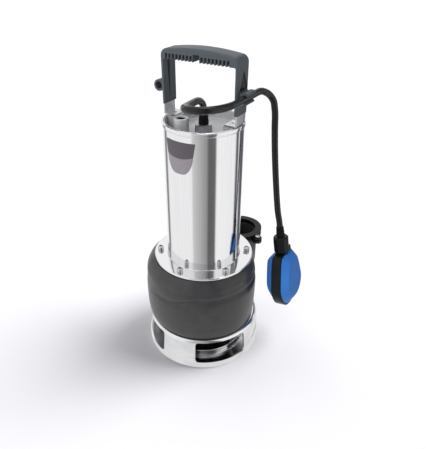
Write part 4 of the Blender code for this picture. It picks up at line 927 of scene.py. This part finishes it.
def plate():
    """The bare shield-shaped plate, bent round the barrel."""
    middle, reach, top, side, tip = -93.5, 48.0, 388.0, 30.0, 340.5
    mesh = bmesh.new()
    x, y = polar(PLATE_RADIUS, middle - reach / 2)
    column = [mesh.verts.new((x * MM, y * MM, z * MM)) for z in (top - side, top)]
    edge = mesh.edges.new(column)
    swept(mesh, column + [edge], reach, 64)
    for vert in mesh.verts:
        if vert.co.z > (top - 1) * MM:
            continue
        azimuth = math.degrees(math.atan2(vert.co.y, vert.co.x))
        t = (azimuth - middle) / (reach / 2)
        vert.co.z = (top - side - (top - side - tip) * (1 - abs(t) ** 3.5)) * MM
        x, y = polar(PLATE_RADIUS, middle + 0.8 * t * reach / 2)
        vert.co.x, vert.co.y = x * MM, y * MM
    bmesh.ops.recalc_face_normals(mesh, faces=mesh.faces)
    piece = shown("bare_plate", mesh)
    step = piece.modifiers.new("thickness", "SOLIDIFY")
    step.thickness = 0.6 * MM
    step.offset = 1.0
    dressed(piece, PLATE, "pump", "plate_grey", "nameplate", edge=0.18)


# ---- top cover, gland and mains inlet ----

COVER_FLOOR = 387.0
SEAT = 387.3
STRAP_LOW = 404.7
STRAP_HIGH = 406.7
STRAP_SCREW = 48.0


def cover():
    """The dished cover with the two lugs that carry the handle's straps."""
    profile = [(0, 384), (57.9, 384), (57.9, 403.2), (57.4, 403.7), (56.4, 403.7)]
    profile += [(55.9, 403.2), (55.9, 390.5)] + arc(52.4, 390.5, 3.5, 0, -90, 6)
    piece = shown("dished_cover", lathe(profile + [(0, COVER_FLOOR)], 160))
    for side in (-1, 1):
        corners = [(38, -13.5), (56, -13.5), (56, 13.5), (38, 13.5)]
        lug = prism([(side * u, v) for u, v in corners], 386, 404.4)
        upright = [e for e in lug.edges if abs(e.verts[0].co.z - e.verts[1].co.z) > 1 * MM]
        softened(lug, upright, 2.5, 4)
        carve(piece, lug, "UNION")
    carve(piece, rod(2.8, 392.4, 440, [(-STRAP_SCREW, 0), (STRAP_SCREW, 0)]))
    dressed(piece, BLASTED, "pump", "brushed_steel", "top_cover", edge=0.6, segments=3)


def gland():
    """The hexagon nut and the tapered rubber boot that the float's cable leaves by."""
    top = SEAT + 10.4
    hexagon = shown("gland_hexagon", prism(ring_of(6, 14.4), SEAT, top))
    chamfer = [(0, SEAT), (12.8, SEAT), (14.6, SEAT + 1.3), (14.6, top - 1.0)]
    chamfer += [(12.9, top), (0, top)]
    carve(hexagon, lathe(chamfer, 96), "INTERSECT")
    dressed(hexagon, PLATED, "pump", "grey_nut", "gland_nut", edge=0.25, sharp=25)
    low = top + 0.3
    rings = [(0, low), (7.2, low), (7.5, low + 0.3)]
    for k in range(3):
        z = low + 3.2 + 3.6 * k
        r = 7.5 - 0.3 * k
        rings += [(r, z - 0.9), (r - 0.6, z - 0.5), (r - 0.6, z + 0.5), (r - 0.1, z + 0.9)]
    rings += [(6.45, 412.4), (6.1, 413.0), (0, 413.0)]
    boot = shown("gland_boot", lathe(rings, 64))
    dressed(boot, RUBBER, "pump", "rubber", "cable_boot", edge=0.15)


def mains_inlet():
    """The socket for the mains cable: a turned sleeve with an eared foot."""
    x, y = -22.0, -25.0
    thread = []
    for k in range(9):
        z = 408.6 - 1.5 * k
        thread += [(6.7, z), (7.15, z - 0.5), (6.7, z - 1.0)]
    profile = [(0, SEAT), (10.8, SEAT), (10.8, 408.3), (10.4, 409.2), (9.8, 409.5)]
    profile += [(7.2, 409.5), (6.7, 409.0)] + thread + [(6.7, 392.3), (0, 392.3)]
    piece = shown("inlet_sleeve", lathe(profile, 72, (x, y, 0)))
    u, v = polar(14.5, -58.6)
    ear = (x + u, y + v)
    carve(piece, rod(5.0, SEAT, 392.3, [ear], 48), "UNION")
    carve(piece, rod(2.3, SEAT - 5, 409.5, [ear], 32))
    dressed(piece, BLASTED, "pump", "brushed_steel", "mains_inlet", edge=0.35)
    socket_screw("inlet_screw", *ear, 392.6, 3.2, 3.0, 2.0, 5, TURNED)
    cup = [(0, 392.5), (6.5, 392.5), (6.5, 407.4), (6.2, 407.8), (5.7, 407.8), (5.5, 407.4)]
    cup += [(5.5, 394), (0, 394)]
    liner = shown("inlet_liner", lathe(cup, 64, (x, y, 0)))
    dressed(liner, RUBBER, "pump", "rubber")


# ---- straps and handle ----


def straps():
    """Two bent, notched strips that carry the handle, each with a countersunk screw."""
    bend = arc(57.8, STRAP_LOW + 2.5, 2.5, -90, 0, 5)
    inside = [(58.3, 470), (58.3, STRAP_HIGH + 0.6), (57.7, STRAP_HIGH)]
    outline = [(41, STRAP_LOW)] + bend + [(60.3, 470)] + inside + [(41, STRAP_HIGH)]
    for side, name in ((-1, "left"), (1, "right")):
        strip = prism([(side * u, v) for u, v in outline], -13, 13, along_y)
        piece = shown(f"strip_{name}", strip)
        cone = [(0, 400), (2.8, 400), (2.8, STRAP_LOW), (4.9, STRAP_HIGH), (4.9, 412), (0, 412)]
        at = (side * STRAP_SCREW, 0, 0)
        carve(piece, lathe(cone, 48, at))
        front, back, low, high = (7.4, 9.2, 408.6, 414.8) if side < 0 else (11.8, 14, 407.4, 413)
        notch = [(front, low), (back, low), (back, high), (front, high)]
        carve(piece, prism(notch, side * 57, side * 62, along_x))
        dressed(piece, SATIN, "pump", "brushed_steel", f"strap_{name}", edge=0.35)
        low = STRAP_HIGH - 14
        profile = [(0, low), (2.5, low), (2.5, STRAP_LOW), (4.5, STRAP_HIGH - 0.1)]
        profile += [(4.5, STRAP_HIGH), (0, STRAP_HIGH)]
        screw = shown(f"countersunk_{name}", lathe(profile, 48, at))
        socket = [(side * STRAP_SCREW + u, v) for u, v in ring_of(6, 2.1, 15)]
        carve(screw, prism(socket, STRAP_HIGH - 2, STRAP_HIGH + 2))
        dressed(screw, TURNED, "pump", "bright_steel", f"strap_screw_{name}", edge=0.12)


LEG_BOTTOM = 421.2
LEG_INNER = 57.0
LEG_OUTER = 61.6
UNDERSIDE = 484.8
SHOULDER = 498.6
CREST = 3.9
HALF_DEPTH = 15.0
CLIP = (69.0, 445.5)
CLIP_BORE = 5.3
CLIP_RADIUS = 8.4
POCKET = (58.0, 60.6)
FIRST_SLOT = -53.15
SLOT_PITCH = 5.72
SLOT = 3.5


def grip_arch():
    """The handle's arch without its slots: its outer and inner line, left to right."""
    turn = 10
    corner_x, corner_z = LEG_OUTER + 0.6 - turn, SHOULDER - turn
    right = [(LEG_OUTER, LEG_BOTTOM), (LEG_OUTER + 0.6, corner_z)]
    right += arc(corner_x, corner_z, turn, 0, 90, 10)[1:]
    crest = []
    for i in range(1, 24):
        x = corner_x * (1 - i / 12)
        crest.append((x, SHOULDER + CREST * (1 - (x / corner_x) ** 2)))
    outer = right + crest + [(-x, z) for x, z in reversed(right)]
    fillet = arc(-LEG_INNER + 2, UNDERSIDE - 2, 2, 180, 90, 5)
    inner = [(-LEG_INNER, LEG_BOTTOM)] + fillet
    inner += [(-x, z) for x, z in reversed(fillet)] + [(LEG_INNER, LEG_BOTTOM)]
    return outer, inner


def clip(side):
    """A cable clip on a leg: the right one opens outwards, the left one is a ring."""
    leg = LEG_OUTER - 1.0
    x, z = CLIP
    outline = arc(x, z, CLIP_RADIUS, 38, 130, 12)
    if side > 0:
        outline += [(leg, z + CLIP_RADIUS), (leg, 429)]
        outline += arc(x, z, CLIP_RADIUS, 235, 305, 10) + arc(x, z, CLIP_BORE, 305, 38, 36)
    else:
        outline += [(leg, z + 6.7), (leg, z - 6.7)] + arc(x, z, CLIP_RADIUS, 235, 390, 24)
    return prism([(side * u, v) for u, v in outline], -11, 12, along_y)


def gusset(start, end):
    """The pointed panel in the right leg's outer face, over its clip."""
    outline = [(-10.9, 454.5), (12.8, 454.5), (-0.8, 480), (-1.4, 480)]
    return prism(outline, start, end, along_x)


def leg_groove(side, start, end):
    """The tapering groove up a leg's inner face."""
    outline = [(-1, 428), (-0.2, 428), (1, 482), (-5, 482)]
    return prism(outline, side * start, side * end, along_x)


def slot_cutter(start, end, top):
    """One finger slot, its crown rounded."""
    r = min(1.3, 0.49 * (end - start))
    outline = [(start, UNDERSIDE - 5), (end, UNDERSIDE - 5)]
    outline += arc(end - r, top - r, r, 0, 90, 3) + arc(start + r, top - r, r, 90, 180, 3)
    return prism(outline, -20, 12, along_y)


def handle():
    """The moulded grip: rounded arch, finger slots, leg pockets, clips, and black inlays of
    painted shade in the leg grooves and the gusset pocket.
    """
    outer, inner = grip_arch()
    mesh = prism(outer + inner, -HALF_DEPTH, HALF_DEPTH, along_y)
    rim = set((round(x, 3), round(z, 3)) for x, z in outer)

    def on_rim(edge):
        ends = [(round(v.co.x / MM, 3), round(v.co.z / MM, 3)) for v in edge.verts]
        flat = abs(edge.verts[0].co.y - edge.verts[1].co.y) < 1e-6
        return flat and all(e in rim for e in ends) and edge.calc_length() < 0.08

    long_edges = [e for e in mesh.edges if on_rim(e)]
    softened(mesh, long_edges, 3.6, 6)
    grip = shown("grip", mesh)
    slots = []
    for k in range(18):
        if k == 9:
            continue
        # The ninth slot is a wide one, over the place of the tenth
        wide = k == 8
        x = FIRST_SLOT + SLOT_PITCH * k - 0.7 * wide
        slots.append(slot_cutter(x, x + SLOT + 6.72 * wide, UNDERSIDE + 8 + 2 * wide))
    carve(grip, joined(slots))
    for side in (-1, 1):
        carve(grip, clip(side), "UNION")
    carve(grip, gusset(60.9, LEG_OUTER + 4))
    near, far = POCKET
    pocket = [(near, -13.3), (far, -13.3), (far, 13.3), (near, 13.3)]
    for side in (-1, 1):
        bore = [(side * CLIP[0] + u, CLIP[1] + v) for u, v in ring_of(48, CLIP_BORE)]
        carve(grip, prism(bore, -20, 20, along_y))
        carve(grip, prism([(side * u, v) for u, v in pocket], LEG_BOTTOM - 5, 470.3))
        carve(grip, leg_groove(side, LEG_INNER - 2, 57.8))
    dressed(grip, SLATE, "pump", "grip_plastic", "handle_grip", edge=0.45, segments=3)
    # Painted shade: thin black pieces laid in the grooves and the gusset pocket stand in for the
    # shade of these recesses, which their shallow depth doesn't make.
    painted_shade_inlays = [gusset(60.7, 61.2), leg_groove(-1, 57.5, 57.9), leg_groove(1, 57.5, 57.9)]
    dressed(shown("leg_inlays", joined(painted_shade_inlays)), NYLON, "pump", "black_plastic")


# ---- float ----

FLOAT_PLACE = Matrix.Translation(Vector((106.0, 66.4, 222.0)) * MM) @ Euler(
    (math.radians(-2.1), math.radians(-10.6), 0)
).to_matrix().to_4x4()
FLOAT_PIECES = ["boot_rings", "octagon_nut", "seam_band", "left_half", "right_half"]
FLOAT_PIECES += ["switch_capsule", "switch_ball"]
FLOAT_TOP = -47.1
FLOAT_LENGTH = 97.0
FLOAT_HALF_WIDTH = 36.6
BAND_HALF = 8.25
# Outline of a blue half, outwards: distance from the seam, inset and extra inset at the foot
SHELL = ((8.55, 1.6, 3.0), (9.0, 1.1, 3.0), (18.8, 8.6, 7.4), (19.8, 9.5, 8.3))
SHELL += ((20.5, 10.6, 9.2), (20.8, 12.4, 10.8), (21.0, 17, 14))
SHELL_ROOM = ((8.0, 4.3, 3.0), (18.0, 11.6, 9.0))


def float_side(inset=0.0, lift=0.0):
    """The float seen from its broad side, as (across, along), along falling."""
    top, half, low = FLOAT_TOP, FLOAT_HALF_WIDTH, FLOAT_TOP - FLOAT_LENGTH
    side = [(13, top), (23.6, top - 2), (half, low + 43), (half, low + 32)]
    side += [(half - 3, low + 22), (half - 8, low + 13), (half - 16, low + 5), (10.6, low)]
    outline = rounded(side + [(-y, z) for y, z in reversed(side)])
    across = 1 - inset / half
    along = 1 - (2 * inset + lift) / FLOAT_LENGTH
    return [(y * across, top - inset + (z - top) * along) for y, z in outline]


def float_loft(sections):
    """A loft through the float's outline at (x, inset, lift)."""
    rings = []
    for x, inset, lift in sections:
        rings.append([Vector((x, y, z)) * MM for y, z in float_side(inset, lift)])
    return loft(rings)


def hung(piece, finish, slot, node, **looks):
    """A piece of the float, put where the float hangs."""
    piece.data.transform(FLOAT_PLACE)
    return dressed(piece, finish, "float", slot, node, **looks)


def float_body():
    """Two moulded halves on a dark band, with the gland nut and boot of its cable."""
    rings = [(0, -0.3), (5.9, -0.3)]
    for k in range(4):
        z = -2.4 - 3.6 * k
        r = 6.2 + 0.2 * k
        rings += [(r, z + 1.2), (r + 0.1, z - 0.8), (r - 0.7, z - 1.2), (r - 0.7, z - 2.0)]
    rings += [(7.0, -16.6), (6.8, -17.0), (0, -17.0)]
    hung(shown("boot_rings", lathe(rings, 64)), RUBBER, "rubber", "float_boot", edge=0.15)
    nut = shown("octagon_nut", prism(ring_of(8, 13.2), -46.8, -17.3))
    shape = [(0, -46.8), (10.7, -46.8), (13.4, -42.0), (13.4, -20.2), (10.6, -17.3), (0, -17.3)]
    carve(nut, lathe(shape, 96), "INTERSECT")
    hung(nut, NYLON, "black_plastic", "float_gland_nut", edge=0.4, sharp=20)
    half = BAND_HALF
    band = [(-half, 0.6, 0), (0.6 - half, 0, 0), (half - 0.6, 0, 0), (half, 0.6, 0)]
    piece = shown("seam_band", float_loft(band))
    carve(piece, float_loft([(-12, 3.0, 0), (12, 3.0, 0)]))
    lug = [(0, -50), (3, -50), (3, -44.4), (2.3, -42.9), (0, -42.3)]
    carve(piece, lathe(lug, 32, (4, 20.3, 0)), "UNION")
    hung(piece, NYLON, "black_plastic", "float_band", edge=0.3)
    for side, name in ((-1, "left"), (1, "right")):
        piece = shown(f"{name}_half", float_loft([(side * x, *more) for x, *more in SHELL]))
        carve(piece, float_loft([(side * x, *more) for x, *more in SHELL_ROOM]))
        hung(piece, BLUE, "blue_plastic", f"float_shell_{name}", sharp=50)


# ---- floor, sky and lamps ----


def floor():
    """A pale floor that shows white to the camera and keeps the pump's shadow."""
    mesh = bmesh.new()
    bmesh.ops.create_grid(mesh, x_segments=1, y_segments=1, size=12)
    piece = shown("floor", mesh)
    made, tree, shader, _ = material("matt white board", 0.9, Specular_IOR_Level=0.0)
    shader.inputs["Base Color"].default_value = linear("c1c0c3")
    rays = add(tree, "LightPath")
    direct = {0: rays.outputs["Is Camera Ray"], 1: rays.outputs["Is Transmission Ray"]}
    seen = add(tree, "Math", direct, operation="MAXIMUM")
    lift = add(tree, "Math", {0: seen.outputs["Value"], 1: 0.03}, operation="MULTIPLY")
    glow = add(tree, "Emission", {"Strength": lift.outputs["Value"]})
    both = add(tree, "AddShader", {0: shader.outputs["BSDF"], 1: glow.outputs["Emission"]})
    tree.links.new(both.outputs["Shader"], tree.nodes["Material Output"].inputs["Surface"])
    piece.data.materials.append(made)
    piece.visible_glossy = False
    reflected_card()


def reflected_card():
    """A bright round card on the floor that only the metal's reflections show."""
    mesh = bmesh.new()
    bmesh.ops.create_circle(mesh, cap_ends=True, segments=96, radius=0.3)
    bmesh.ops.translate(mesh, verts=mesh.verts, vec=(0, 0, -0.0002))
    near = shown("floor_near", mesh)
    card, _, shader, _ = material("white card", 1.0, Emission_Strength=0.9)
    shader.inputs["Base Color"].default_value = linear("000000")
    shader.inputs["Emission Color"].default_value = linear("f4f4f4")
    near.data.materials.append(card)
    near.visible_camera = near.visible_diffuse = near.visible_shadow = False


# What the metal sees round the pump, by azimuth: pale screens with dark gaps
SCREENS = [(-180, "fafafa"), (-94, "fafafa"), (-89, "d2d2d2"), (-49, "989898")]
SCREENS += [(-45, "646464"), (-25, "6b6b6b"), (-21, "ffffff"), (-14, "ffffff")]
SCREENS += [(42, "fafafa"), (46, "5a5c66"), (54, "5a5c66"), (58, "e4e4e4")]
SCREENS += [(66, "e4e4e4"), (69, "606268"), (90, "606268"), (95, "ffffff")]
SCREENS += [(160, "ffffff"), (165, "8a8a8a"), (175, "8a8a8a"), (179.9, "fafafa")]
# The soft light that reaches the pump from each azimuth
FILL = [(-180, "9a9a9e"), (-72, "c4c4c8"), (0, "7a7a80"), (60, "5c5c62"), (130, "8e8e94")]
FILL += [(179.9, "9a9a9e")]


def sky():
    """White behind the pump; metal sees a studio of pale screens and dark gaps."""
    world = bpy.data.worlds.new("studio")
    bpy.context.scene.world = world
    world.use_nodes = True
    tree = world.node_tree
    back = tree.nodes["Background"]
    spot = add(tree, "SeparateXYZ", {"Vector": add(tree, "TexCoord").outputs["Generated"]})
    turn = add(tree, "Math", {0: spot.outputs["Y"], 1: spot.outputs["X"]}, operation="ARCTAN2")
    circle = {"Value": turn.outputs["Value"], "From Min": -math.pi, "From Max": math.pi}
    share = add(tree, "MapRange", circle).outputs["Result"]
    screens = graded(tree, share, [((a + 180) / 360, colour) for a, colour in SCREENS])
    fill = graded(tree, share, [((a + 180) / 360, colour) for a, colour in FILL])
    height = add(tree, "Math", {0: spot.outputs["Z"]}, operation="ABSOLUTE")
    fade = {"From Min": 0.1, "From Max": 0.3, "To Min": 0.4, "To Max": 0.0}
    horizon = add(tree, "MapRange", {"Value": height.outputs["Value"], **fade})
    white = linear("ffffff")
    brighter = {0: horizon.outputs["Result"], 6: screens, 7: white}
    studio = add(tree, "Mix", brighter, data_type="RGBA").outputs[2]
    rays = add(tree, "LightPath")
    lit = {0: rays.outputs["Is Glossy Ray"], 6: fill, 7: studio}
    light = add(tree, "Mix", lit, data_type="RGBA").outputs[2]
    direct = {0: rays.outputs["Is Camera Ray"], 1: rays.outputs["Is Transmission Ray"]}
    seen = add(tree, "Math", direct, operation="MAXIMUM").outputs["Value"]
    result = add(tree, "Mix", {0: seen, 6: light, 7: white}, data_type="RGBA")
    tree.links.new(result.outputs[2], back.inputs["Color"])


def lamp(name, azimuth, height, strength, spread, lit, shines=False):
    """A soft lamp far away, at an azimuth and a height in degrees, for what it lights."""
    data = bpy.data.lights.new(name, "SUN")
    data.energy = strength
    data.angle = math.radians(spread)
    made = bpy.data.objects.new(name, data)
    bpy.context.scene.collection.objects.link(made)
    made.rotation_euler = (0, math.radians(90 - height), math.radians(azimuth))
    made.visible_glossy = shines
    made.light_linking.receiver_collection = lit


def lamps():
    """Three windows throw the pump's shadow on the floor; two lamps light the pump."""
    board = bpy.data.collections.new("board")
    board.objects.link(bpy.data.objects["floor"])
    pump = bpy.data.collections.new("pump_pieces")
    for piece in bpy.data.objects:
        if piece.type in ("MESH", "CURVE") and not piece.name.startswith("floor"):
            pump.objects.link(piece)
    lamp("window", 46, 54, 4.0, 36, board)
    lamp("window_behind", 156, 52, 1.2, 50, board)
    lamp("window_above", 75, 50, 1.2, 50, board)
    lamp("overhead", 100, 76, 0.7, 22, pump, shines=True)
    lamp("front", -112, 42, 1.5, 50, pump)


# ---- the pump, piece by piece ----

camera()
float_body()
kept_pieces()
float_cable()
base_and_strainer()
suction_cover()
casing()
discharge()
motor_housing()
cover()
gland()
mains_inlet()
straps()
handle()
floor()
sky()
lamps()
bpy.context.scene.view_settings.view_transform = "Standard"
